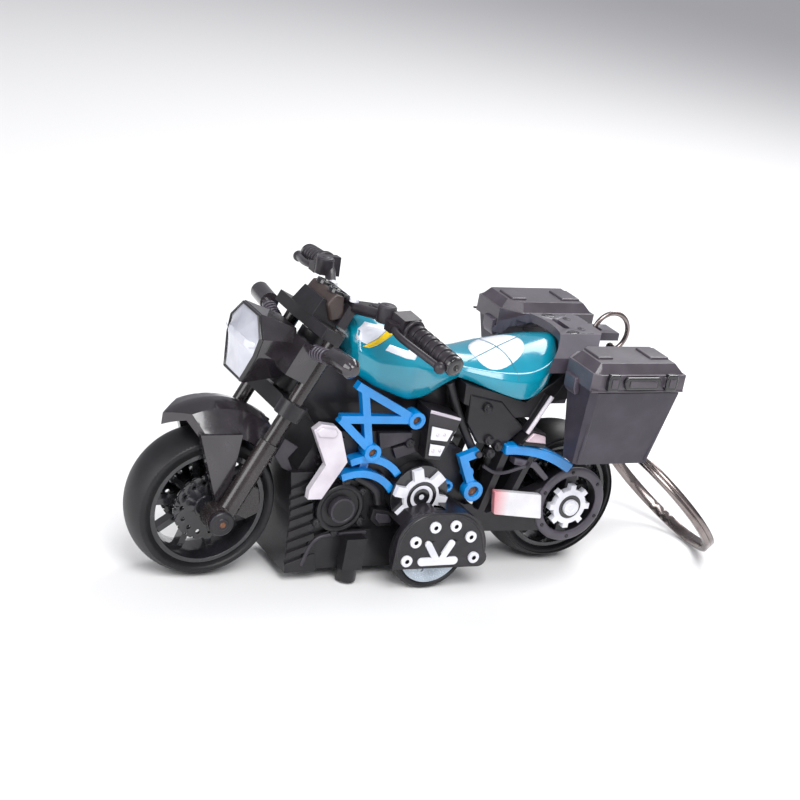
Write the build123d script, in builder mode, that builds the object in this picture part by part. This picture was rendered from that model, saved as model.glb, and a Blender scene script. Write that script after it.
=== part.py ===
from build123d import *
import os
from math import cos, hypot, radians, sin

os.makedirs("parts", exist_ok=True)

# ---------------------------------------------------------------- driving sizes
# +X is the way the motorcycle rolls forward, +Y is its left side, +Z is up.
wheel_radius = 13.2
wheelbase = 70.0
front_axle_x = 47.2
rear_axle_x = front_axle_x - wheelbase
axle_z = wheel_radius

rake = 25.4                     # steering axis leans back from the vertical
fork_behind_axle = 1.2
stem_behind_fork = 1.0
fork_half_spacing = 7.6
fork_length = 37.0

engine_half_width = 6.6
floor_z = 1.9

drive_radius = 7.6
drive_axle_x = front_axle_x - 40.0
gear_module = 0.4
wheel_gear_teeth = 20
pinion_teeth = 8
shaft_clearance = 0.05

wire = 0.9                      # chain wire thickness

# ---------------------------------------------------------------- worked out


def side(y):
    """Plane facing the right side, at distance y to the left; a positive extrude goes to the right."""
    return Plane.XZ.offset(-y)


def across(x, z):
    """Plane square to +X through an axle at x, z: its x runs to the left and its y runs up."""
    return Plane(origin=(x, 0, z), x_dir=(0, 1, 0), z_dir=(1, 0, 0))


def axle_line(x, z):
    return Axis((x, 0, z), (0, 1, 0))


rake_sin = sin(radians(rake))
rake_cos = cos(radians(rake))
up_fork = (-rake_sin, 0, rake_cos)
fork_foot_x = front_axle_x - fork_behind_axle
stem_foot_x = fork_foot_x - stem_behind_fork / rake_cos


def fork_plane(y):
    """Plane square to the fork at axle height: its x runs forward and down, its y runs to the left."""
    return Plane(origin=(fork_foot_x, y, axle_z), x_dir=(rake_cos, 0, rake_sin), z_dir=up_fork)


def stem_plane():
    return Plane(origin=(stem_foot_x, 0, axle_z), x_dir=(rake_cos, 0, rake_sin), z_dir=up_fork)


# gear centres of the friction motor, each one stage further from the drive axle
stage = gear_module * (wheel_gear_teeth + pinion_teeth) / 2
idler_lean = 60.0
flywheel_lean = 20.0
idler_x = drive_axle_x + stage * cos(radians(idler_lean))
idler_z = drive_radius + stage * sin(radians(idler_lean))
flywheel_x = idler_x + stage * cos(radians(flywheel_lean))
flywheel_z = idler_z + stage * sin(radians(flywheel_lean))


def mirrored(left):
    """The right-hand twin of a left-hand piece."""
    with BuildPart() as right:
        mirror(left.part, about=Plane.XZ)
    return right


# ---------------------------------------------------------------- engine halves
cavity_half_width = 5.2
with BuildPart() as engine_left:
    with BuildSketch(side(engine_half_width)):
        with BuildLine():
            Polyline((30.5, floor_z), (32.0, 13.0), (33.0, 21.0), (29.5, 28.0), (10.0, 28.0), (1.0, 24.0),
                     (-1.8, 17.0), (-1.8, 11.0), (2.6, floor_z), close=True)
        make_face()
    extrude(amount=engine_half_width)
    # lower crankcase panel and the round covers of the two side bearings
    with BuildSketch(side(engine_half_width + 0.8)):
        with BuildLine():
            Polyline((30.0, 2.4), (28.6, 8.4), (25.2, 9.6), (17.0, 9.6), (16.0, 2.4), close=True)
        make_face()
    extrude(amount=0.8)
    with BuildSketch(side(engine_half_width + 1.2)):
        with Locations((24.1, 14.1)):
            Circle(4.4)
    extrude(amount=1.2)
    with BuildSketch(side(engine_half_width + 2.4)):
        with Locations((24.1, 14.1)):
            Circle(2.2)
    extrude(amount=1.4)
    # stabiliser peg that nearly reaches the floor
    with BuildSketch(side(9.9)):
        with Locations((20.7, 5.9)):
            Rectangle(3.9, 6.0)
    extrude(amount=9.9 - engine_half_width)
    with BuildSketch(Plane.XY.offset(0.5)):
        with Locations((20.7, 8.0)):
            Circle(1.85)
    extrude(amount=3.4)
    # hollow for the friction motor
    with BuildSketch(side(cavity_half_width)):
        with Locations((drive_axle_x, drive_radius), (idler_x, idler_z)):
            Circle(4.7)
        with Locations((flywheel_x, flywheel_z)):
            Circle(5.0)
    extrude(amount=cavity_half_width, mode=Mode.SUBTRACT)
    with BuildSketch(side(engine_half_width + 1.0)):
        with Locations((drive_axle_x, drive_radius)):
            Circle(0.8 + shaft_clearance)
    extrude(amount=engine_half_width, mode=Mode.SUBTRACT)
    with BuildSketch(side(cavity_half_width + 1.0)):
        with Locations((idler_x, idler_z), (flywheel_x, flywheel_z)):
            Circle(0.6 + shaft_clearance)
    extrude(amount=2.0, mode=Mode.SUBTRACT)
engine_right = mirrored(engine_left)

# ---------------------------------------------------------------- cooling fins ahead of the engine
fin_half_width = 7.6
with BuildPart() as cooling_fins:
    with BuildSketch(side(fin_half_width)):
        with BuildLine():
            Polyline((30.5, floor_z), (32.6, floor_z), (33.3, 13.0), (34.6, 21.0), (33.0, 21.0), (32.0, 13.0),
                     close=True)
        make_face()
    extrude(amount=2 * fin_half_width)
    for wall_y in (fin_half_width, -engine_half_width):
        with BuildSketch(side(wall_y)):
            with BuildLine():
                Polyline((26.5, floor_z), (31.5, floor_z), (32.6, 13.0), (33.6, 21.0), (30.2, 21.0), (29.0,
                         13.0),
                         close=True)
            make_face()
        extrude(amount=fin_half_width - engine_half_width)
    # slanting grooves between the fins, cut into both outer faces
    for step in range(8):
        groove_z = 4.0 + 2.1 * step
        for groove_y in (fin_half_width, -fin_half_width + 0.5):
            with BuildSketch(side(groove_y)):
                with BuildLine():
                    Polyline((26.0, groove_z + 1.9), (34.0, groove_z - 0.9), (34.0, groove_z), (26.0,
                             groove_z + 2.8),
                             close=True)
                make_face()
            extrude(amount=0.5, mode=Mode.SUBTRACT)
    add(engine_left.part, mode=Mode.SUBTRACT)
    add(engine_right.part, mode=Mode.SUBTRACT)

# ---------------------------------------------------------------- clutch covers
clutch_x = front_axle_x - 37.6
clutch_z = 16.7
clutch_radius = 5.5
with BuildPart() as clutch_cover_left:
    with BuildSketch(side(engine_half_width + 2.4)):
        with Locations((clutch_x, clutch_z)):
            Circle(clutch_radius)
    extrude(amount=2.4)
    with BuildSketch(side(engine_half_width + 3.4)):
        with Locations((clutch_x, clutch_z)):
            Circle(3.4)
            with PolarLocations(clutch_radius - 1.7, 6, start_angle=13):
                Rectangle(3.0, 1.9)
    extrude(amount=1.2)
    for ring_radius in (1.1, 2.45):
        with BuildSketch(side(engine_half_width + 3.4)):
            with Locations((clutch_x, clutch_z)):
                Circle(ring_radius + 0.45)
                Circle(ring_radius, mode=Mode.SUBTRACT)
        extrude(amount=0.5, mode=Mode.SUBTRACT)
clutch_cover_right = mirrored(clutch_cover_left)

# ---------------------------------------------------------------- friction motor
def gear_outline(teeth):
    """Straight-flanked spur gear outline, a little thin at the pitch circle so that two of them run free."""
    pitch = gear_module * teeth / 2
    tooth_angle = 360 / teeth
    points = []
    for tooth in range(teeth):
        middle = tooth * tooth_angle
        for part, radius in ((-0.26, pitch - 1.15 * gear_module), (-0.16, pitch), (-0.05,
                             pitch + 0.65 * gear_module),
                             (0.05, pitch + 0.65 * gear_module), (0.16, pitch), (0.26,
                                     pitch - 1.15 * gear_module)):
            angle = radians(middle + part * tooth_angle)
            points.append((radius * cos(angle), radius * sin(angle)))
    return points


def gear_disc(teeth, x, z, left_y, width, turn):
    """One toothed disc with its left face at left_y."""
    middle = Plane(origin=(x, left_y, z), x_dir=(cos(radians(turn)), 0, sin(radians(turn))), z_dir=(0, -1, 0))
    with BuildPart() as disc:
        with BuildSketch(middle):
            with BuildLine():
                Polyline(*gear_outline(teeth), close=True)
            make_face()
        extrude(amount=width)
    return disc


wheel_gear_left = -2.6
wheel_gear_width = 2.0
idler_gear_left = -0.7
idler_gear_width = 1.4
# a gap of each driven gear is turned to face the tooth that enters it
idler_turn_from_wheel = idler_lean + 180 + 180 / pinion_teeth
wheel_turn = idler_lean
idler_gear_turn = flywheel_lean
flywheel_turn = flywheel_lean + 180 + 180 / pinion_teeth

with BuildPart() as drive_axle:
    with BuildSketch(side(11.9)):
        with Locations((drive_axle_x, drive_radius)):
            Circle(0.8)
    extrude(amount=23.8)

wheel_teeth = gear_disc(wheel_gear_teeth, drive_axle_x, drive_radius, wheel_gear_left, wheel_gear_width,
                        wheel_turn)
with BuildPart() as wheel_gear:
    add(wheel_teeth.part)
    with BuildSketch(side(wheel_gear_left - wheel_gear_width)):
        with Locations((drive_axle_x, drive_radius)):
            Circle(1.8)
    extrude(amount=0.4)
    with BuildSketch(side(6)):
        with Locations((drive_axle_x, drive_radius)):
            Circle(0.8)
    extrude(amount=12, mode=Mode.SUBTRACT)

idler_pinion_teeth = gear_disc(pinion_teeth, idler_x, idler_z, wheel_gear_left + 0.1, wheel_gear_width + 0.2,
                               idler_turn_from_wheel)
idler_wheel_teeth = gear_disc(wheel_gear_teeth, idler_x, idler_z, idler_gear_left, idler_gear_width,
                              idler_gear_turn)
with BuildPart() as idler_gear:
    add(idler_pinion_teeth.part)
    add(idler_wheel_teeth.part)
    with BuildSketch(side(cavity_half_width + 0.9)):
        with Locations((idler_x, idler_z)):
            Circle(0.6)
    extrude(amount=2 * (cavity_half_width + 0.9))
    with BuildSketch(side(wheel_gear_left + 0.6)):
        with Locations((idler_x, idler_z)):
            Circle(1.0)
    extrude(amount=1.0)

flywheel_teeth = gear_disc(pinion_teeth, flywheel_x, flywheel_z, idler_gear_left + 0.1,
                           idler_gear_width + 0.2,
                           flywheel_turn)
with BuildPart() as flywheel_pinion:
    add(flywheel_teeth.part)
    with BuildSketch(side(cavity_half_width + 0.9)):
        with Locations((flywheel_x, flywheel_z)):
            Circle(0.6)
    extrude(amount=2 * (cavity_half_width + 0.9))

flywheel_radius = 4.6
with BuildPart() as flywheel:
    with BuildSketch(side(4.7)):
        with Locations((flywheel_x, flywheel_z)):
            Circle(flywheel_radius)
            Circle(0.6, mode=Mode.SUBTRACT)
    extrude(amount=4.7)
    with BuildSketch(side(4.7)):
        with Locations((flywheel_x, flywheel_z)):
            Circle(3.7)
            Circle(1.5, mode=Mode.SUBTRACT)
    extrude(amount=1.2, mode=Mode.SUBTRACT)

# ---------------------------------------------------------------- drive wheels
hub_left_face = 12.9
hub_right_face = 10.3
with BuildPart() as drive_hub_left:
    with BuildSketch(across(drive_axle_x, drive_radius)):
        with BuildLine():
            Polyline((hub_right_face, 0.8), (11.9, 0.8), (11.9, 0), (12.6, 0), (12.3, 3.2), (hub_left_face,
                     5.6),
                     (hub_left_face, 6.2), (hub_right_face + 0.2, 6.2), (hub_right_face + 0.2, 2.2),
                     (hub_right_face, 2.2), close=True)
        make_face()
    revolve(axis=axle_line(drive_axle_x, drive_radius), revolution_arc=360)
drive_hub_right = mirrored(drive_hub_left)

with BuildPart() as drive_tyre_left:
    with BuildSketch(across(drive_axle_x, drive_radius)):
        with BuildLine():
            Line((hub_right_face + 0.2, 6.2), (hub_left_face, 6.2))
            Line((hub_left_face, 6.2), (hub_left_face, 7.0))
            ThreePointArc((hub_left_face, 7.0), (11.7, drive_radius), (hub_right_face + 0.2, 7.0))
            Line((hub_right_face + 0.2, 7.0), (hub_right_face + 0.2, 6.2))
        make_face()
    revolve(axis=axle_line(drive_axle_x, drive_radius), revolution_arc=360)
drive_tyre_right = mirrored(drive_tyre_left)

# ---------------------------------------------------------------- silver shrouds beside the radiator
with BuildPart() as shroud_left:
    with BuildSketch(side(9.6)):
        with BuildLine():
            Polyline((32.7, 29.6), (31.4, 30.7), (28.7, 30.3), (27.5, 29.2), (25.3, 23.6), (29.0, 16.8),
                     (31.6, 16.8),
                     (31.6, 18.5), (29.3, 23.1), close=True)
        make_face()
    extrude(amount=1.3)
    # two feet that carry it on the engine
    with BuildSketch(side(8.4)):
        with Locations((27.8, 23.6)):
            Circle(1.1)
    extrude(amount=8.4 - engine_half_width)
shroud_right = mirrored(shroud_left)

# ---------------------------------------------------------------- airbox funnels behind the engine cylinders
with BuildPart() as airbox_left:
    with BuildSketch(side(9.2)):
        with BuildLine():
            Polyline((10.7, 32.8), (4.0, 31.2), (5.2, 27.5), (6.9, 23.2), (10.0, 23.6), close=True)
        make_face()
    extrude(amount=9.2 - 4.2)
    add(engine_left.part, mode=Mode.SUBTRACT)
    with BuildSketch(side(9.5)):
        with BuildLine():
            Polyline((9.9, 29.9), (5.6, 29.0), (6.4, 27.0), (9.7, 27.4), close=True)
        make_face()
        with BuildLine():
            Polyline((9.6, 26.6), (6.7, 26.2), (7.3, 24.2), (9.5, 24.4), close=True)
        make_face()
    extrude(amount=0.4)
airbox_right = mirrored(airbox_left)


# ---------------------------------------------------------------- trellis frame sides
trellis_y = 9.0
with BuildPart() as trellis_left:
    for start, end in (((25.4, 37.3), (13.0, 30.9)), ((27.6, 31.2), (13.0, 30.9)), ((24.0, 36.6),
                       (21.0, 25.0)),
                       ((27.6, 31.2), (20.5, 25.0))):
        with BuildSketch(side(trellis_y)):
            with BuildLine():
                Line(start, end)
            trace(line_width=1.4)
        extrude(amount=1.5)
    # eyes at the two lower joints
    for eye in ((13.0, 30.9), (20.5, 25.0)):
        with BuildSketch(side(trellis_y + 0.4)):
            with Locations(eye):
                Circle(1.55)
        extrude(amount=trellis_y + 0.4 - engine_half_width)
        with BuildSketch(side(trellis_y + 0.4)):
            with Locations(eye):
                Circle(0.8)
        extrude(amount=0.8, mode=Mode.SUBTRACT)
    # the two arched pipes that are moulded below it
    with BuildSketch(side(trellis_y - 0.4)):
        with BuildLine():
            ThreePointArc((24.0, 22.9), (18.8, 23.3), (14.3, 20.4))
        trace(line_width=1.3)
    extrude(amount=trellis_y - 0.4 - engine_half_width)
    with BuildSketch(side(trellis_y - 0.4)):
        with BuildLine():
            ThreePointArc((25.2, 20.1), (20.0, 20.6), (15.0, 17.4))
        trace(line_width=1.3)
    extrude(amount=trellis_y - 0.4 - engine_half_width)
    with BuildSketch(side(engine_half_width + 0.6)):
        with Locations((20.6, 22.4)):
            Rectangle(1.6, 5.0)
    extrude(amount=0.6)
    add(clutch_cover_left.part, mode=Mode.SUBTRACT)
trellis_right = mirrored(trellis_left)

# ---------------------------------------------------------------- footrest brackets
with BuildPart() as footrest_bracket_left:
    with BuildSketch(side(9.0)):
        with BuildLine():
            Polyline((-1.1, 24.4), (1.8, 23.3), (-1.0, 17.8))
        trace(line_width=1.5)
    extrude(amount=1.4)
    with BuildSketch(side(9.3)):
        with Locations((-1.3, 17.0)):
            Circle(1.9)
    extrude(amount=1.7)
    with BuildSketch(side(9.3)):
        with Locations((-1.3, 17.0)):
            Circle(1.05)
    extrude(amount=0.8, mode=Mode.SUBTRACT)
    with BuildSketch(side(7.8)):
        with Locations((-0.4, 20.0)):
            Circle(1.1)
    extrude(amount=7.8 - engine_half_width)
footrest_bracket_right = mirrored(footrest_bracket_left)

# ---------------------------------------------------------------- main frame under the tank, with the steering head
head_bottom = 22.8
head_top = 33.6
stem_radius = 1.5
with BuildPart() as main_frame:
    with BuildSketch(stem_plane().offset(head_bottom)):
        Circle(2.7)
    extrude(amount=head_top - head_bottom)
    with BuildSketch(side(3.6)):
        with BuildLine():
            Polyline((33.2, 32.9), (28.9, 42.2), (8.0, 36.0), (-24.0, 37.5), (-24.0, 33.0), (-12.0, 30.6),
                     (-2.0, 28.0),
                     (29.5, 28.0), close=True)
        make_face()
    extrude(amount=7.2)
    with BuildSketch(stem_plane().offset(head_bottom - 2)):
        Circle(stem_radius + shaft_clearance)
    extrude(amount=head_top - head_bottom + 4, mode=Mode.SUBTRACT)
    # the stem's two end faces stay clear of the clamps
    with BuildSketch(stem_plane().offset(head_top)):
        Circle(12)
    extrude(amount=8, mode=Mode.SUBTRACT)

# ---------------------------------------------------------------- fuel tank
with BuildPart() as fuel_tank:
    with BuildSketch(side(9.4)):
        with BuildLine():
            Polyline((26.0, 47.2), (27.2, 44.0), (25.6, 38.6), (22.9, 36.9), (14.9, 34.0), (10.1, 34.3),
                     (7.5, 36.3),
                     (3.6, 37.2), (3.6, 40.6), (9.3, 43.2))
            ThreePointArc((9.3, 43.2), (18.0, 47.8), (26.0, 47.2))
        make_face()
    extrude(amount=18.8)
    # shoulders slope in towards the top, the nose and the seat
    for turn in (1, -1):
        with BuildSketch(Plane.YZ.offset(34)):
            with BuildLine():
                Polyline((turn * 3.4, 50.0), (turn * 9.6, 41.2), (turn * 12, 41.2), (turn * 12, 50.0),
                         close=True)
            make_face()
        extrude(amount=-34, mode=Mode.SUBTRACT)
        with BuildSketch(Plane.YZ.offset(34)):
            with BuildLine():
                Polyline((turn * 7.6, 33.0), (turn * 9.6, 39.6), (turn * 12, 39.6), (turn * 12, 33.0),
                         close=True)
            make_face()
        extrude(amount=-34, mode=Mode.SUBTRACT)
        with BuildSketch(Plane.XY.offset(52)):
            with BuildLine():
                Polyline((3.0, turn * 5.6), (13.5, turn * 9.5), (13.5, turn * 12), (3.0, turn * 12),
                         close=True)
            make_face()
        extrude(amount=-20, mode=Mode.SUBTRACT)
        with BuildSketch(Plane.XY.offset(52)):
            with BuildLine():
                Polyline((29.0, turn * 6.0), (23.0, turn * 9.5), (23.0, turn * 12), (29.0, turn * 12),
                         close=True)
            make_face()
        extrude(amount=-20, mode=Mode.SUBTRACT)
    # room for the steering head, and the slot that drops over the main frame
    with BuildSketch(stem_plane().offset(head_bottom)):
        Circle(4.2)
    extrude(amount=24, mode=Mode.SUBTRACT)
    with BuildSketch(side(3.6)):
        with BuildLine():
            Polyline((33.2, 32.9), (28.9, 42.2), (8.0, 36.0), (0.0, 36.5), (0.0, 31.0), close=True)
        make_face()
    extrude(amount=7.2, mode=Mode.SUBTRACT)

# ---------------------------------------------------------------- black strip along the top of the tank
with BuildPart() as tank_strip:
    with BuildSketch(side(2.2)):
        with BuildLine():
            ThreePointArc((8.6, 43.7), (17.6, 48.8), (25.4, 48.2))
            Line((25.4, 48.2), (25.4, 46.0))
            Line((25.4, 46.0), (9.0, 42.4))
            Line((9.0, 42.4), (8.6, 43.7))
        make_face()
    extrude(amount=4.4)
    with BuildSketch(stem_plane().offset(head_bottom)):
        Circle(4.2)
    extrude(amount=24, mode=Mode.SUBTRACT)
    add(fuel_tank.part, mode=Mode.SUBTRACT)

# ---------------------------------------------------------------- seat cowl
with BuildPart() as seat_cowl:
    with BuildSketch(Plane.XY.offset(33.0)):
        with BuildLine():
            ThreePointArc((3.4, 5.4), (-5.0, 9.3), (-13.0, 8.2))
            ThreePointArc((-13.0, 8.2), (-17.6, 0), (-13.0, -8.2))
            ThreePointArc((-13.0, -8.2), (-5.0, -9.3), (3.4, -5.4))
            Line((3.4, -5.4), (3.4, 5.4))
        make_face()
    extrude(amount=12)
    # side view: low in front, rising to the tail, cut up behind
    with BuildSketch(side(12)):
        with BuildLine():
            Polyline((5.0, 37.4), (3.6, 37.2), (-2.9, 35.6), (-9.8, 33.6), (-12.6, 35.8), (-18.0, 39.6),
                     (-18.0, 44.4),
                     (-11.5, 42.8))
            ThreePointArc((-11.5, 42.8), (-4.0, 40.4), (5.0, 40.4))
            Line((5.0, 40.4), (5.0, 37.4))
        make_face()
    extrude(amount=24, mode=Mode.INTERSECT)
    with BuildSketch(side(3.6)):
        with BuildLine():
            Polyline((8.0, 36.0), (-24.0, 37.5), (-24.0, 30.0), (8.0, 30.0), close=True)
        make_face()
    extrude(amount=7.2, mode=Mode.SUBTRACT)

# ---------------------------------------------------------------- silencer
with BuildPart() as silencer:
    # one crosswise can under the seat with a slanting end on each side
    with BuildSketch(side(9.4)):
        with BuildLine():
            Polyline((-8.8, 25.9), (-11.1, 28.6), (-14.1, 27.9), (-14.5, 25.5), close=True)
        make_face()
    extrude(amount=18.8)

# ---------------------------------------------------------------- seat subframe below the cowl
with BuildPart() as seat_subframe:
    with BuildSketch(side(7.4)):
        with BuildLine():
            Polyline((3.4, 36.9), (3.2, 33.2), (-4.0, 30.2), (-12.0, 30.4), (-16.0, 35.0), (-18.6, 39.6),
                     (-18.0, 39.6),
                     (-12.6, 35.6), (-9.8, 33.4), (-2.9, 35.4), close=True)
        make_face()
    extrude(amount=14.8)
    with BuildSketch(side(3.6)):
        with BuildLine():
            Polyline((8.0, 36.0), (-24.0, 37.5), (-24.0, 33.0), (-12.0, 30.6), (-2.0, 28.0), (8.0, 28.0),
                     close=True)
        make_face()
    extrude(amount=7.2, mode=Mode.SUBTRACT)
    # struts down to the silencer on each side
    for strut_y in (8.4, -7.2):
        with BuildSketch(side(strut_y)):
            with BuildLine():
                Line((-10.6, 27.8), (-13.8, 34.8))
            trace(line_width=1.2)
        extrude(amount=1.2)
    add(silencer.part, mode=Mode.SUBTRACT)

# ---------------------------------------------------------------- tail rack with the key-ring lug
lug_x = -26.1
lug_z = 44.0
lug_end_x = -30.2
with BuildPart() as tail_rack:
    # arched saddle that closes the tail behind the seat
    with BuildSketch(Plane.YZ.offset(-11.0)):
        with BuildLine():
            Polyline((-10.6, 40.2), (-9.6, 42.6), (-5.4, 45.6), (5.4, 45.6), (9.6, 42.6), (10.6, 40.2),
                     (9.2, 40.2),
                     (8.4, 41.8), (4.8, 44.1), (-4.8, 44.1), (-8.4, 41.8), (-9.2, 40.2), close=True)
        make_face()
    extrude(amount=-14.0)
    with BuildSketch(side(2.4)):
        with BuildLine():
            Polyline((-24.0, 44.9), (lug_end_x, 44.7), (lug_end_x, 43.3), (-17.0, 43.3), (-17.0, 44.9),
                     close=True)
        make_face()
    extrude(amount=4.8)
    # plan shape: follows the rim of the seat in front and narrows behind
    with BuildSketch(Plane.XY.offset(50)):
        with BuildLine():
            ThreePointArc((-10.0, 11.0), (-16.4, 0), (-10.0, -11.0))
            Polyline((-10.0, -11.0), (-8.0, -11.0), (-8.0, 11.0), (-10.0, 11.0))
        make_face()
        with BuildLine():
            Polyline((-20.0, 11.0), (-25.6, 3.2), (-26, 12), close=True)
        make_face()
        with BuildLine():
            Polyline((-20.0, -11.0), (-25.6, -3.2), (-26, -12), close=True)
        make_face()
    extrude(amount=-14, mode=Mode.SUBTRACT)
    add(seat_cowl.part, mode=Mode.SUBTRACT)
    # post down to the end of the main frame
    with BuildSketch(Plane.XY.offset(37.5)):
        with Locations((-20.0, 0)):
            Rectangle(3.0, 5.0)
    extrude(amount=6.0)
    # oval slot in the saddle plate and the round hole in the lug
    with BuildSketch(Plane.XY.offset(50)):
        with Locations((-18.6, 0)):
            SlotOverall(5.0, 1.4, rotation=90)
    extrude(amount=-5.6, mode=Mode.SUBTRACT)
    with BuildSketch(Plane.XY.offset(50)):
        with Locations((lug_x, 0)):
            Circle(1.4)
    extrude(amount=-8, mode=Mode.SUBTRACT)
    add(seat_subframe.part, mode=Mode.SUBTRACT)
    # side arms that hold the two cases
    for arm_y in (11.6, -8.4):
        with BuildSketch(side(arm_y)):
            with Locations((-19.0, 41.6)):
                Rectangle(4.4, 1.4)
        extrude(amount=3.2)

# ---------------------------------------------------------------- side cases
case_inner_y = 10.0
case_outer_y = 21.2
lid_z = 40.5
case_top_z = 45.6
with BuildPart() as case_left:
    # the walls lean in towards a smaller floor
    with BuildSketch(Plane.XY.offset(lid_z)):
        with BuildLine():
            Polyline((-13.8, case_inner_y + 2.4), (-13.8, case_outer_y - 1.4), (-15.0, case_outer_y - 0.4),
                     (-32.0, case_outer_y - 0.4), (-32.0, case_inner_y), (-17.0, case_inner_y), close=True)
        make_face()
    with BuildSketch(Plane.XY.offset(25.2)):
        with BuildLine():
            Polyline((-16.0, case_inner_y + 3.0), (-16.0, case_outer_y - 5.0), (-16.8, case_outer_y - 4.4),
                     (-31.4, case_outer_y - 4.4), (-31.4, case_inner_y + 1.2), (-17.6,
                             case_inner_y + 1.2), close=True)
        make_face()
    loft()
    offset(amount=-1.2, openings=faces().sort_by(Axis.Z)[-1])
    add(tail_rack.part, mode=Mode.SUBTRACT)
case_right = mirrored(case_left)

with BuildPart() as case_lid_left:
    with BuildSketch(Plane.XY.offset(lid_z + 0.3)):
        with BuildLine():
            Polyline((-13.2, case_inner_y + 2.4), (-13.2, case_outer_y - 0.8), (-14.6, case_outer_y),
                     (-32.4, case_outer_y), (-32.4, case_inner_y - 0.4), (-16.6,
                             case_inner_y - 0.4), close=True)
        make_face()
    extrude(amount=3.2)
    with BuildSketch(Plane.XY.offset(lid_z + 3.5)):
        with BuildLine():
            Polyline((-13.6, case_inner_y + 2.6), (-13.6, case_outer_y - 1.0), (-14.8, case_outer_y - 0.2),
                     (-32.0, case_outer_y - 0.2), (-32.0, case_inner_y), (-16.9, case_inner_y), close=True)
        make_face()
    extrude(amount=case_top_z - lid_z - 3.5, taper=40)
    # seam step that drops inside the case
    with BuildSketch(Plane.XY.offset(lid_z + 0.3)):
        with BuildLine():
            Polyline((-15.6, case_inner_y + 3.8), (-15.6, case_outer_y - 2.4), (-30.6, case_outer_y - 2.4),
                     (-30.6, case_inner_y + 1.6), (-17.9, case_inner_y + 1.6), close=True)
        make_face()
    extrude(amount=-0.9)
    # two latches and a long pull on the outer face
    for latch_x, latch_width in ((-17.0, 2.4), (-29.0, 2.4), (-23.0, 6.5)):
        with BuildSketch(side(case_outer_y + 0.5)):
            with Locations((latch_x, lid_z + 2.3)):
                Rectangle(latch_width, 1.9)
        extrude(amount=0.6)
    add(tail_rack.part, mode=Mode.SUBTRACT)
case_lid_right = mirrored(case_lid_left)

# ---------------------------------------------------------------- boxes on the swingarm
with BuildPart() as side_box_left:
    with BuildSketch(side(9.0)):
        with BuildLine():
            Polyline((-6.0, 16.8), (-16.2, 15.7), (-17.2, 10.9), (-6.8, 12.2), close=True)
        make_face()
    extrude(amount=1.1)
side_box_right = mirrored(side_box_left)

# ---------------------------------------------------------------- swingarm with the two chain-guard rings
guard_x = rear_axle_x - 0.6
guard_outer = 7.4
guard_inner = 5.6
with BuildPart() as swingarm:
    for arm_y in (7.9, -5.5):
        with BuildSketch(side(arm_y)):
            with Locations((guard_x, axle_z)):
                Circle(guard_outer)
            with BuildLine():
                Polyline((2.0, 11.4), (1.0, 14.6), (-6.0, 12.0), (-18.5, 17.5), (-18.5, 8.0), (-6.0, 8.4),
                         close=True)
            make_face()
            with Locations((guard_x, axle_z)):
                Circle(guard_inner, mode=Mode.SUBTRACT)
            with Locations((rear_axle_x, axle_z)):
                Circle(1.6)
                Rectangle(2.2, 2 * guard_inner + 1.6)
                Circle(0.8, mode=Mode.SUBTRACT)
        extrude(amount=2.4)
        # painted upper rail
        with BuildSketch(side(arm_y + (0.8 if arm_y > 0 else 0))):
            with BuildLine():
                ThreePointArc((-7.0, 24.6), (-14.6, 23.8), (-21.0, 20.6))
            trace(line_width=1.8)
        extrude(amount=3.2)
        with BuildSketch(side(arm_y)):
            with BuildLine():
                Line((-7.6, 24.4), (-4.6, 12.0))
            trace(line_width=1.4)
            with BuildLine():
                Line((-13.4, 23.6), (-9.4, 12.0))
            trace(line_width=1.2)
        extrude(amount=2.4)
    # cross tube ahead of the rear tyre
    with BuildSketch(side(7.9)):
        with Locations((-1.6, 12.4)):
            Circle(1.6)
    extrude(amount=15.8)
    with BuildSketch(side(engine_half_width)):
        with BuildLine():
            Polyline((32.0, 13.0), (10.0, 28.0), (1.0, 24.0), (-1.8, 17.0), (-1.8, 11.0), (2.6, floor_z),
                     close=True)
        make_face()
    extrude(amount=2 * engine_half_width, mode=Mode.SUBTRACT)


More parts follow.
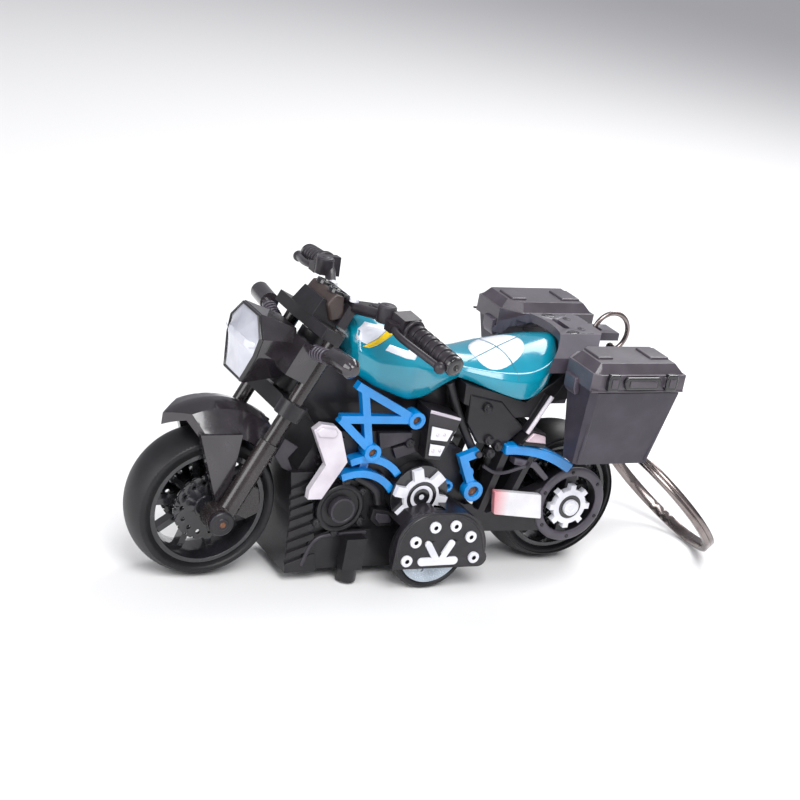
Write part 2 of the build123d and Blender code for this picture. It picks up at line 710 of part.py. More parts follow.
# ---------------------------------------------------------------- fan plates over the drive wheels
plate_outer = 14.3
plate_inner = 13.2
stud_places = [(12.9, 6.6), (11.8, 10.2), (8.4, 12.9), (4.3, 13.0), (0.8, 10.8), (-0.6, 6.7)]
with BuildPart() as fan_plate_left:
    with BuildSketch(side(plate_outer)):
        with BuildLine():
            Line((15.4, 4.9), (15.2, 10.8))
            ThreePointArc((15.2, 10.8), (12.6, 14.6), (8.8, 15.6))
            Line((8.8, 15.6), (2.6, 15.4))
            ThreePointArc((2.6, 15.4), (-1.6, 12.2), (-3.0, 7.4))
            ThreePointArc((-3.0, 7.4), (-3.3, 5.4), (-1.9, 4.7))
            Line((-1.9, 4.7), (15.4, 4.9))
        make_face()
    extrude(amount=plate_outer - plate_inner)
    # bridge back to the engine above the drive wheel
    with BuildSketch(side(plate_outer)):
        with BuildLine():
            Polyline((15.2, 12.6), (14.4, 12.6), (12.6, 14.6), (8.8, 15.6), (2.6, 15.4), (0.4, 14.4), (-0.9,
                     13.4),
                     (-0.9, 12.6), close=True)
        make_face()
        with Locations((drive_axle_x, drive_radius)):
            Circle(drive_radius + 0.4, mode=Mode.SUBTRACT)
    extrude(amount=plate_outer - engine_half_width)
    add(clutch_cover_left.part, mode=Mode.SUBTRACT)
    add(swingarm.part, mode=Mode.SUBTRACT)
    # raised rim studs and the K-shaped stiffening rib
    with BuildSketch(side(plate_outer + 0.5)):
        with Locations(*stud_places):
            Circle(0.95)
    extrude(amount=0.6)
    with BuildSketch(side(plate_outer + 0.5)):
        with Locations(*stud_places):
            Circle(0.4)
    extrude(amount=0.5, mode=Mode.SUBTRACT)
    with BuildSketch(side(plate_outer + 0.4)):
        with Locations((6.6, 6.3)):
            SlotOverall(7.8, 1.3)
        with Locations((7.2, 8.2)):
            SlotOverall(4.6, 1.1, rotation=55)
        with Locations((4.6, 8.2)):
            SlotOverall(4.6, 1.1, rotation=125)
    extrude(amount=0.5)
fan_plate_right = mirrored(fan_plate_left)

# ---------------------------------------------------------------- road wheels
def tyre(x, half_width, shoulder_radius, rim_radius):
    with BuildPart() as rubber:
        with BuildSketch(across(x, axle_z)):
            with BuildLine():
                Line((-half_width, rim_radius), (half_width, rim_radius))
                Line((half_width, rim_radius), (half_width, shoulder_radius))
                ThreePointArc((half_width, shoulder_radius), (0, wheel_radius), (-half_width,
                              shoulder_radius))
                Line((-half_width, shoulder_radius), (-half_width, rim_radius))
            make_face()
        revolve(axis=axle_line(x, axle_z), revolution_arc=360)
    return rubber


def rim(x, half_width, rim_radius, hub_half_width, spokes, disc_radius):
    """Barrel, spoked centre and a brake disc on each side, moulded in one."""
    with BuildPart() as wheel:
        with BuildSketch(across(x, axle_z)):
            with BuildLine():
                Polyline((-half_width, rim_radius), (half_width, rim_radius), (half_width, rim_radius - 0.9),
                         (1.6, rim_radius - 1.5), (-1.6, rim_radius - 1.5), (-half_width,
                                 rim_radius - 0.9), close=True)
            make_face()
        revolve(axis=axle_line(x, axle_z), revolution_arc=360)
        with BuildSketch(side(hub_half_width)):
            with Locations((x, axle_z)):
                Circle(2.3)
        extrude(amount=2 * hub_half_width)
        with BuildSketch(side(1.0)):
            with Locations((x, axle_z)):
                with PolarLocations(rim_radius / 2 - 0.2, spokes):
                    Rectangle(rim_radius - 2.4, 1.1)
        extrude(amount=2.0)
        for face_y in (hub_half_width - 0.3, -hub_half_width + 0.9):
            with BuildSketch(side(face_y)):
                with Locations((x, axle_z)):
                    Circle(disc_radius)
                    with PolarLocations(disc_radius - 1.4, 14):
                        Circle(0.4, mode=Mode.SUBTRACT)
                    with PolarLocations(disc_radius, 20):
                        Circle(0.3, mode=Mode.SUBTRACT)
            extrude(amount=0.6)
        with BuildSketch(side(20)):
            with Locations((x, axle_z)):
                Circle(0.8 + shaft_clearance)
        extrude(amount=40, mode=Mode.SUBTRACT)
    return wheel


rim_radius = 10.4
front_tyre = tyre(front_axle_x, 4.2, 12.0, rim_radius)
front_rim = rim(front_axle_x, 4.0, rim_radius, 4.0, 10, 6.0)
rear_tyre = tyre(rear_axle_x, 4.9, 11.7, rim_radius)
rear_rim = rim(rear_axle_x, 4.6, rim_radius, 4.6, 10, 5.0)

with BuildPart() as rear_axle:
    with BuildSketch(side(8.8)):
        with Locations((rear_axle_x, axle_z)):
            Circle(0.8)
    extrude(amount=17.6)

with BuildPart() as sprocket_left:
    with BuildSketch(side(9.2)):
        with Locations((rear_axle_x, axle_z)):
            Circle(3.4)
            with PolarLocations(3.5, 8):
                Rectangle(1.5, 1.1)
    extrude(amount=1.3)
    with BuildSketch(side(9.9)):
        with Locations((rear_axle_x, axle_z)):
            Circle(1.5)
    extrude(amount=0.8)
    with BuildSketch(side(8.8)):
        with Locations((rear_axle_x, axle_z)):
            Circle(0.8)
    extrude(amount=1.0, mode=Mode.SUBTRACT)
sprocket_right = mirrored(sprocket_left)

# ---------------------------------------------------------------- fork, clamps and stem
slider_length = 15.0
lower_clamp_at = 19.6
top_clamp_at = 34.2
with BuildPart() as fork_leg_left:
    with BuildSketch(fork_plane(fork_half_spacing).offset(-1.6)):
        Circle(1.75)
    extrude(amount=slider_length + 1.6)
    with BuildSketch(fork_plane(fork_half_spacing).offset(slider_length)):
        Circle(1.35)
    extrude(amount=fork_length - slider_length)
    with BuildSketch(side(9.4)):
        with Locations((front_axle_x, axle_z)):
            Circle(2.3)
        with Locations((front_axle_x - 0.8, axle_z)):
            Rectangle(2.0, 3.6)
    extrude(amount=3.4)
    # brake caliper moulded on the back of the slider
    with BuildSketch(side(6.6)):
        with BuildLine():
            Polyline((44.0, 16.4), (42.6, 19.0), (39.6, 17.6), (38.8, 13.4), (41.2, 12.2), (44.2, 13.6),
                     close=True)
        make_face()
    extrude(amount=2.2)
    with BuildSketch(side(20)):
        with Locations((front_axle_x, axle_z)):
            Circle(0.8)
    extrude(amount=20, mode=Mode.SUBTRACT)
fork_leg_right = mirrored(fork_leg_left)

with BuildPart() as front_axle:
    with BuildSketch(side(9.9)):
        with Locations((front_axle_x, axle_z)):
            Circle(0.8)
    extrude(amount=19.8)
    for cap_y in (10.2, -9.4):
        with BuildSketch(side(cap_y)):
            with Locations((front_axle_x, axle_z)):
                Circle(1.9)
        extrude(amount=0.8)

with BuildPart() as lower_clamp:
    with BuildSketch(stem_plane().offset(lower_clamp_at)):
        Rectangle(4.0, 2 * fork_half_spacing)
        with Locations((stem_behind_fork, fork_half_spacing), (stem_behind_fork, -fork_half_spacing)):
            Circle(2.4)
        with Locations((1.2, 0)):
            Rectangle(3.0, 2 * fork_half_spacing)
    extrude(amount=2.8)
    with BuildSketch(stem_plane().offset(lower_clamp_at)):
        Circle(stem_radius)
    extrude(amount=top_clamp_at - lower_clamp_at)
    with BuildSketch(stem_plane().offset(lower_clamp_at - 1)):
        with Locations((stem_behind_fork, fork_half_spacing), (stem_behind_fork, -fork_half_spacing)):
            Circle(1.35)
    extrude(amount=6, mode=Mode.SUBTRACT)

with BuildPart() as top_clamp:
    with BuildSketch(stem_plane().offset(top_clamp_at)):
        with BuildLine():
            Polyline((4.6, 9.6), (5.4, 0), (4.6, -9.6), (0.8, -9.6), (-2.1, -2.6), (-2.1, 2.6), (0.8, 9.6),
                     close=True)
        make_face()
        with Locations((stem_behind_fork, fork_half_spacing), (stem_behind_fork, -fork_half_spacing)):
            Circle(1.35, mode=Mode.SUBTRACT)
    extrude(amount=2.0)
    # instrument housing on top
    with BuildSketch(stem_plane().offset(top_clamp_at + 2.0)):
        with Locations((2.6, 0)):
            Rectangle(5.2, 8.4)
    extrude(amount=3.4, taper=8)

# ---------------------------------------------------------------- handlebar with controls
bar_radius = 0.95
bar_end_x = 19.6
bar_end_y = 28.5
bar_end_z = 48.4
with BuildPart() as handlebar:
    with BuildLine() as bar_path:
        Polyline((bar_end_x, -bar_end_y, bar_end_z), (22.6, -14.0, 50.8), (26.4, -5.0, 49.8), (26.4, 5.0,
                 49.8),
                 (22.6, 14.0, 50.8), (bar_end_x, bar_end_y, bar_end_z))
    with BuildSketch(Plane(origin=bar_path.line @ 0, z_dir=bar_path.line % 0)):
        Circle(bar_radius)
    sweep(transition=Transition.ROUND)
    for turn in (1, -1):
        grip_plane = Plane(origin=(bar_end_x, turn * bar_end_y, bar_end_z), z_dir=(-3.0, turn * 14.5, -2.4))
        with BuildSketch(grip_plane.offset(-11.5)):
            Circle(1.5)
        extrude(amount=11.5)
        for rib in range(6):
            with BuildSketch(grip_plane.offset(-10.6 + 1.7 * rib)):
                Circle(1.75)
            extrude(amount=0.8)
        # perch, flat lever and fluid pot
        with BuildSketch(grip_plane.offset(-15.5)):
            Rectangle(3.6, 3.4)
        extrude(amount=3.2)
        with BuildSketch(Plane(origin=(23.6, turn * 14.0, 50.4),
                         z_dir=(-3.6, turn * 14.5, -2.4)).offset(-1.0)):
            Rectangle(1.9, 0.9)
        extrude(amount=12.5)
        with Locations((23.4, turn * 15.0, 50.3)):
            Box(4.4, 2.2, 1.6)
        with Locations((24.6, turn * 12.2, 51.4)):
            Cylinder(1.6, 2.6)
        # riser down to the top clamp
        with BuildSketch(Plane(origin=(26.9, turn * 4.2, 49.8), z_dir=up_fork)):
            Rectangle(1.8, 1.6)
        extrude(amount=-4.0)
    add(top_clamp.part, mode=Mode.SUBTRACT)

# ---------------------------------------------------------------- headlight with the turn signals
lamp_z = 42.0
lamp_front_x = 43.6
lamp_lean = 8.0
lamp_lean_cos = cos(radians(lamp_lean))
lamp_lean_sin = sin(radians(lamp_lean))
lamp_plane = Plane(origin=(lamp_front_x, 0, lamp_z), x_dir=(0, 1, 0), z_dir=(lamp_lean_cos, 0, lamp_lean_sin))
# shield outline seen from the front, to the left and up
lens_corners = [(-3.2, 5.4), (3.2, 5.4), (5.9, 2.4), (5.5, -0.6), (3.2, -5.6), (-3.2, -5.6), (-5.5, -0.6),
                (-5.9, 2.4)]
with BuildPart() as headlight_housing:
    with BuildSketch(lamp_plane.offset(-7.0)):
        with BuildLine():
            Polyline((-3.4, 4.6), (3.4, 4.6), (5.0, 2.6), (5.0, -0.6), (3.0, -4.4), (-3.0, -4.4), (-5.0,
                     -0.6),
                     (-5.0, 2.6), close=True)
        make_face()
    with BuildSketch(lamp_plane):
        with BuildLine():
            Polyline((-3.6, 6.0), (3.6, 6.0), (6.6, 2.6), (6.2, -0.6), (3.6, -6.2), (-3.6, -6.2), (-6.2,
                     -0.6),
                     (-6.6, 2.6), close=True)
        make_face()
    loft()
    # bracket back to the fork
    with BuildSketch(stem_plane().offset(26.0)):
        with Locations((5.2, 0)):
            Rectangle(2.0, 2 * fork_half_spacing + 2)
        with Locations((3.6, fork_half_spacing), (3.6, -fork_half_spacing)):
            Rectangle(3.6, 2.0)
    extrude(amount=6.4)
    with BuildSketch(fork_plane(0).offset(20)):
        with Locations((0, fork_half_spacing), (0, -fork_half_spacing)):
            Circle(1.35)
    extrude(amount=18, mode=Mode.SUBTRACT)
    # turn signals on stalks, starting ahead of the fork tubes
    for turn in (1, -1):
        with BuildSketch(Plane(origin=(34.6, turn * 7.0, 43.0), z_dir=(-0.1, turn, 0.16))):
            Circle(1.0)
        extrude(amount=7.0)
        with BuildSketch(Plane(origin=(33.5, turn * 13.2, 44.2), z_dir=(-0.1, turn, 0.02))):
            Circle(1.7)
        extrude(amount=5.6)
        extrude(faces().sort_by(Axis.Y)[-1 if turn > 0 else 0], amount=1.2, taper=35)
    # seat for the lens
    with BuildSketch(lamp_plane):
        with BuildLine():
            Polyline(*lens_corners, close=True)
        make_face()
    extrude(amount=-1.2, mode=Mode.SUBTRACT)

with BuildPart() as headlight_lens:
    with BuildSketch(lamp_plane.offset(-1.2)):
        with BuildLine():
            Polyline(*lens_corners, close=True)
        make_face()
    extrude(amount=1.6)
    # shallow facets meeting at the level crease
    with BuildSketch(lamp_plane.offset(0.4)):
        with BuildLine():
            Polyline(*lens_corners, close=True)
        make_face()
    with BuildSketch(lamp_plane.offset(1.7)):
        with Locations((0, 0.9)):
            Rectangle(6.6, 1.2)
    loft()

# ---------------------------------------------------------------- front mudguard
guard_z = axle_z + 2.6           # the arc is struck from above the axle, so the gap grows over the tyre
guard_radius = 14.4
with BuildPart() as front_mudguard:
    # an arc over the tyre, from the beak back to behind the fork
    with BuildSketch(across(front_axle_x, guard_z)):
        with BuildLine():
            Polyline((-5.2, guard_radius - 3.4), (-3.0, guard_radius), (3.0, guard_radius), (5.2,
                     guard_radius - 3.4),
                     (6.0, guard_radius - 3.0), (3.6, guard_radius + 1.0), (0, guard_radius + 1.7),
                     (-3.6, guard_radius + 1.0), (-6.0, guard_radius - 3.0), close=True)
        make_face()
    revolve(axis=axle_line(front_axle_x, guard_z), revolution_arc=360)
    # keep the upper part only: it ends in a point in front and square behind
    with BuildSketch(Plane.XY.offset(40)):
        with BuildLine():
            Polyline((front_axle_x + 9.0, 0), (front_axle_x + 2.6, 6.2), (front_axle_x - 9.6, 6.2),
                     (front_axle_x - 9.6, -6.2), (front_axle_x + 2.6, -6.2), close=True)
        make_face()
    extrude(amount=-18.0, mode=Mode.INTERSECT)
    add(lower_clamp.part, mode=Mode.SUBTRACT)
    # blades down each side to the fork
    for blade_y in (fork_half_spacing - 1.3, -4.9):
        with BuildSketch(side(blade_y)):
            with BuildLine():
                Polyline((51.6, 27.6), (46.8, 14.8), (44.9, 15.8), (44.0, 27.6), close=True)
            make_face()
        extrude(amount=1.4)
    add(fork_leg_left.part, mode=Mode.SUBTRACT)
    add(fork_leg_right.part, mode=Mode.SUBTRACT)

# ---------------------------------------------------------------- key chain
split_outer = 15.0
split_width = 2.0
split_depth = 1.1
ring_lean = 44.6                # split ring leans forward over the floor
ring_far_x = -(front_axle_x + wheel_radius)
jump_radius = 3.75
jump_x = lug_x - jump_radius
jump_z = lug_z
hold = wire + 0.1               # between the middles of two wires that hang on each other

ring_down = (-cos(radians(ring_lean)), 0, -sin(radians(ring_lean)))
ring_x = ring_far_x + split_outer * cos(radians(ring_lean)) + split_width / 2 * sin(radians(ring_lean))
ring_z = split_outer * sin(radians(ring_lean)) + split_width / 2 * cos(radians(ring_lean)) + 0.1
ring_top_x = ring_x - (split_outer - split_depth / 2) * ring_down[0]
ring_top_z = ring_z - (split_outer - split_depth / 2) * ring_down[2]
chain_run = hypot(ring_top_x - jump_x, ring_top_z - jump_z)
along_x = (ring_top_x - jump_x) / chain_run
along_z = (ring_top_z - jump_z) / chain_run
hold_split = hypot(split_width, split_depth) / 2 + wire / 2 + 0.1
pitch = (chain_run - jump_radius + 4 * hold + hold_split) / 4

with BuildPart() as jump_ring:
    with BuildSketch(Plane(origin=(jump_x, 0, jump_z + jump_radius), x_dir=(0, 1, 0), z_dir=(1, 0, 0))):
        Circle(wire / 2)
    revolve(axis=Axis((jump_x, 0, jump_z), (0, 1, 0)), revolution_arc=360)


def chain_link(start, crosswise):
    """One wire link whose first end wire is at this distance along the chain from the jump ring's middle."""
    middle = start + pitch / 2
    across_way = (0, 1, 0) if crosswise else (along_z, 0, -along_x)
    way = Vector(along_x, 0, along_z)
    loop_plane = Plane(origin=(jump_x + middle * along_x, 0, jump_z + middle * along_z), x_dir=way,
                       z_dir=way.cross(Vector(across_way)))
    half_width = 1.75
    half_length = pitch / 2
    with BuildPart() as link:
        with BuildLine(loop_plane) as loop:
            Line((-half_length + half_width, half_width), (half_length - half_width, half_width))
            ThreePointArc((half_length - half_width, half_width), (half_length, 0),
                          (half_length - half_width, -half_width))
            Line((half_length - half_width, -half_width), (-half_length + half_width, -half_width))
            ThreePointArc((-half_length + half_width, -half_width), (-half_length, 0),
                          (-half_length + half_width, half_width))
        with BuildSketch(Plane(origin=loop.line @ 0, z_dir=loop.line % 0)):
            Circle(wire / 2)
        sweep()
    return link


first_start = jump_radius - hold
chain_link_1 = chain_link(first_start, True)
chain_link_2 = chain_link(first_start + pitch - hold, False)
chain_link_3 = chain_link(first_start + 2 * (pitch - hold), True)
chain_link_4 = chain_link(first_start + 3 * (pitch - hold), False)

with BuildPart() as split_ring:
    ring_plane = Plane(origin=(ring_x, 0, ring_z), x_dir=ring_down, z_dir=(-ring_down[2], 0, ring_down[0]))
    with BuildSketch(ring_plane.offset(-split_width / 2)):
        Circle(split_outer)
        Circle(split_outer - split_depth, mode=Mode.SUBTRACT)
    extrude(amount=split_width)
    # seam between the two turns
    with BuildSketch(ring_plane.offset(-0.1)):
        Circle(split_outer + 1)
        Circle(split_outer - 0.35, mode=Mode.SUBTRACT)
    extrude(amount=0.2, mode=Mode.SUBTRACT)

# ---------------------------------------------------------------- files
pieces = {
    "engine_left": engine_left,
    "engine_right": engine_right,
    "cooling_fins": cooling_fins,
    "clutch_cover_left": clutch_cover_left,
    "clutch_cover_right": clutch_cover_right,
    "drive_axle": drive_axle,
    "wheel_gear": wheel_gear,
    "idler_gear": idler_gear,
    "flywheel_pinion": flywheel_pinion,
    "flywheel": flywheel,
    "drive_hub_left": drive_hub_left,
    "drive_hub_right": drive_hub_right,
    "drive_tyre_left": drive_tyre_left,
    "drive_tyre_right": drive_tyre_right,
    "fan_plate_left": fan_plate_left,
    "fan_plate_right": fan_plate_right,
    "shroud_left": shroud_left,
    "shroud_right": shroud_right,
    "airbox_left": airbox_left,
    "airbox_right": airbox_right,
    "trellis_left": trellis_left,
    "trellis_right": trellis_right,
    "footrest_bracket_left": footrest_bracket_left,
    "footrest_bracket_right": footrest_bracket_right,
    "main_frame": main_frame,
    "fuel_tank": fuel_tank,
    "tank_strip": tank_strip,
    "seat_cowl": seat_cowl,
    "seat_subframe": seat_subframe,
    "tail_rack": tail_rack,
    "case_left": case_left,
    "case_right": case_right,
    "case_lid_left": case_lid_left,
    "case_lid_right": case_lid_right,
    "silencer": silencer,
    "side_box_left": side_box_left,
    "side_box_right": side_box_right,
    "swingarm": swingarm,
    "front_tyre": front_tyre,
    "front_rim": front_rim,
    "rear_tyre": rear_tyre,
    "rear_rim": rear_rim,
    "rear_axle": rear_axle,
    "sprocket_left": sprocket_left,
    "sprocket_right": sprocket_right,
    "fork_leg_left": fork_leg_left,
    "fork_leg_right": fork_leg_right,
    "front_axle": front_axle,
    "lower_clamp": lower_clamp,
    "top_clamp": top_clamp,
    "handlebar": handlebar,
    "headlight_housing": headlight_housing,
    "headlight_lens": headlight_lens,
    "front_mudguard": front_mudguard,
    "jump_ring": jump_ring,
    "chain_link_1": chain_link_1,
    "chain_link_2": chain_link_2,
    "chain_link_3": chain_link_3,
    "chain_link_4": chain_link_4,
    "split_ring": split_ring,
}
for name, piece in pieces.items():
    piece.part.label = name
    export_step(piece.part, f"parts/{name}.step")
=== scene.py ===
from math import cos, hypot, radians, sin, tau

import bmesh
import bpy
from mathutils import Matrix, Vector
from mathutils.bvhtree import BVHTree


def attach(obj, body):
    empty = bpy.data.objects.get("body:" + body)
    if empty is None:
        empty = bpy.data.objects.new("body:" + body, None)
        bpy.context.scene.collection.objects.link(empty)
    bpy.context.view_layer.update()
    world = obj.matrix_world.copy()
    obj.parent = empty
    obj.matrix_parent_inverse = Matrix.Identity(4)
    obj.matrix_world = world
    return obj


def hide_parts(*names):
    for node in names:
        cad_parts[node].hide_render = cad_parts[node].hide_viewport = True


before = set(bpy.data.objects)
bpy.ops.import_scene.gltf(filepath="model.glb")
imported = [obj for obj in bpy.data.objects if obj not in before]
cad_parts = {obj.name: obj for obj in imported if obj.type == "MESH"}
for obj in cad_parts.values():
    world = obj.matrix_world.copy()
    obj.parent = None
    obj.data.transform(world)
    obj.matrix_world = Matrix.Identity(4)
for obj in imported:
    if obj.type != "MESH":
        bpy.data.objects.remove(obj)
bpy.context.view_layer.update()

mm = 0.001
sides = (("left", 1), ("right", -1))

# ---------------------------------------------------------------- engine
# Two black nylon halves that screw together round the friction motor, with the
# fins of the radiator moulded as a strip in front. Lugs and covers stand on their outer faces.


def plastic(name, slot, colour, worn, roughness, grain=0.35, relief=0.006, coat=0.0, metallic=0.0,
            shine=0.5):
    """Moulded plastic: cloudy colour, fine mould skin, uneven gloss. Grain and relief are in mm."""
    material = bpy.data.materials.new(name)
    material["record_slot"] = slot
    material.use_nodes = True
    new = material.node_tree.nodes.new
    link = material.node_tree.links.new
    surface = material.node_tree.nodes["Principled BSDF"]
    surface.inputs["Metallic"].default_value = metallic
    surface.inputs["Specular IOR Level"].default_value = shine
    surface.inputs["Coat Weight"].default_value = coat
    surface.inputs["Coat Roughness"].default_value = 0.08
    place = new("ShaderNodeTexCoord")
    cloud = new("ShaderNodeTexNoise")
    cloud.inputs["Scale"].default_value = 1 / (5 * mm)
    cloud.inputs["Detail"].default_value = 3.0
    skin = new("ShaderNodeTexNoise")
    skin.inputs["Scale"].default_value = 1 / (grain * mm)
    skin.inputs["Detail"].default_value = 4.0
    for noise in (cloud, skin):
        link(place.outputs["Object"], noise.inputs["Vector"])
    tint = new("ShaderNodeMix")
    tint.name = "tint"
    tint.data_type = "RGBA"
    tint.inputs["A"].default_value = (*colour, 1)
    tint.inputs["B"].default_value = (*worn, 1)
    spread = new("ShaderNodeMapRange")
    spread.inputs["From Min"].default_value = 0.42
    spread.inputs["From Max"].default_value = 0.72
    link(cloud.outputs["Fac"], spread.inputs["Value"])
    link(spread.outputs["Result"], tint.inputs["Factor"])
    link(tint.outputs["Result"], surface.inputs["Base Color"])
    gloss = new("ShaderNodeMapRange")
    gloss.inputs["To Min"].default_value = max(0.04, roughness - 0.07)
    gloss.inputs["To Max"].default_value = roughness + 0.10
    link(skin.outputs["Fac"], gloss.inputs["Value"])
    link(gloss.outputs["Result"], surface.inputs["Roughness"])
    bump = new("ShaderNodeBump")
    bump.inputs["Strength"].default_value = 0.5
    bump.inputs["Distance"].default_value = relief * mm
    link(skin.outputs["Fac"], bump.inputs["Height"])
    link(bump.outputs["Normal"], surface.inputs["Normal"])
    return material


def soften(piece, edge, angle=28):
    """Closes the split edges and rounds them by this many mm."""
    weld = piece.modifiers.new("weld", "WELD")
    weld.merge_threshold = 0.002 * mm
    if edge:
        bevel = piece.modifiers.new("edge", "BEVEL")
        bevel.width = edge * mm
        bevel.segments = 2
        bevel.limit_method = "ANGLE"
        bevel.angle_limit = radians(angle)
        bevel.use_clamp_overlap = True
    piece.modifiers.new("shade", "WEIGHTED_NORMAL")
    return piece


def dress(names, material, edge=0.15):
    """Gives carried-over nodes their real finish."""
    for name in names.split():
        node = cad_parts[name]
        node.data.materials.clear()
        node.data.materials.append(material)
        for face in node.data.polygons:
            face.use_smooth = True
        soften(node, edge)


def both(name):
    return f"{name}_left {name}_right"


def build(name, points, faces, material, body="chassis", edge=0.06):
    """One piece from points in mm."""
    mesh = bpy.data.meshes.new(name)
    mesh.from_pydata([Vector(point) * mm for point in points], [], faces)
    work = bmesh.new()
    work.from_mesh(mesh)
    bmesh.ops.remove_doubles(work, verts=work.verts, dist=0.0005 * mm)
    bmesh.ops.delete(work, geom=[edge for edge in work.edges if not edge.link_faces],
                     context="EDGES")
    bmesh.ops.recalc_face_normals(work, faces=work.faces)
    for face in work.faces:
        face.smooth = True
    work.to_mesh(mesh)
    work.free()
    mesh.materials.append(material)
    item = bpy.data.objects.new(name, mesh)
    bpy.context.scene.collection.objects.link(item)
    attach(item, body)
    if edge:
        soften(item, edge)
    return item


def turned(name, profile, centre, material, body="chassis", axis=(0, 1, 0), steps=40, edge=0.06):
    """Turned piece: profile is a closed line of (radius, distance along the axis) in mm."""
    along = Vector(axis).normalized()
    across = along.orthogonal().normalized()
    upward = along.cross(across)
    points = []
    faces = []
    for row, (radius, reach) in enumerate(profile):
        below = (row + 1) % len(profile)
        for step in range(steps):
            angle = tau * step / steps
            outward = (across * cos(angle) + upward * sin(angle)) * radius
            points.append(Vector(centre) + along * reach + outward)
            after = (step + 1) % steps
            faces.append((row * steps + step, row * steps + after, below * steps + after,
                          below * steps + step))
    return build(name, points, faces, material, body, edge)


def slab(name, outline, near, far, material, body="chassis", edge=0.12, lay="side"):
    """Flat piece: an outline in x, z between two y, or one in x, y between two z."""
    count = len(outline)
    points = []
    for level in (near, far):
        for a, b in outline:
            points.append((a, level, b) if lay == "side" else (a, b, level))
    faces = [tuple(range(count)), tuple(range(2 * count - 1, count - 1, -1))]
    for corner in range(count):
        after = (corner + 1) % count
        faces.append((corner, after, count + after, count + corner))
    return build(name, points, faces, material, body, edge)


def rod(name, path, radius, material, body="chassis", rounds=3, sides_round=12, closed_ends=True):
    """Bent round rod. The corners of its path, in mm, are eased."""
    line = [Vector(point) for point in path]
    for _ in range(rounds if len(line) > 2 else 0):
        eased = [line[0]]
        for start, end in zip(line, line[1:]):
            eased += [start.lerp(end, 0.25), start.lerp(end, 0.75)]
        line = eased + [line[-1]]
    points = []
    faces = []
    lean = (line[1] - line[0]).normalized().orthogonal().normalized()
    for place, point in enumerate(line):
        way = (line[min(place + 1, len(line) - 1)] - line[max(place - 1, 0)]).normalized()
        lean = (lean - way * lean.dot(way)).normalized()
        other = way.cross(lean)
        for step in range(sides_round):
            angle = tau * step / sides_round
            points.append(point + (lean * cos(angle) + other * sin(angle)) * radius)
    for row in range(len(line) - 1):
        for step in range(sides_round):
            after = (step + 1) % sides_round
            low = row * sides_round
            faces.append((low + step, low + after, low + sides_round + after,
                          low + sides_round + step))
    if closed_ends:
        faces.append(tuple(range(sides_round)))
        faces.append(tuple(range(len(points) - 1, len(points) - 1 - sides_round, -1)))
    return build(name, points, faces, material, body, radius * 0.2)


engine_black = plastic("engine_black", "black", (0.0075, 0.0068, 0.0085), (0.016, 0.014, 0.018),
                       0.40, coat=0.1, shine=0.4)
engine_grey = plastic("engine_grey", "black", (0.030, 0.027, 0.034), (0.045, 0.040, 0.050), 0.42,
                      shine=0.4)
dress(both("engine"), engine_black, 0.2)
dress("cooling_fins", engine_black, 0.1)

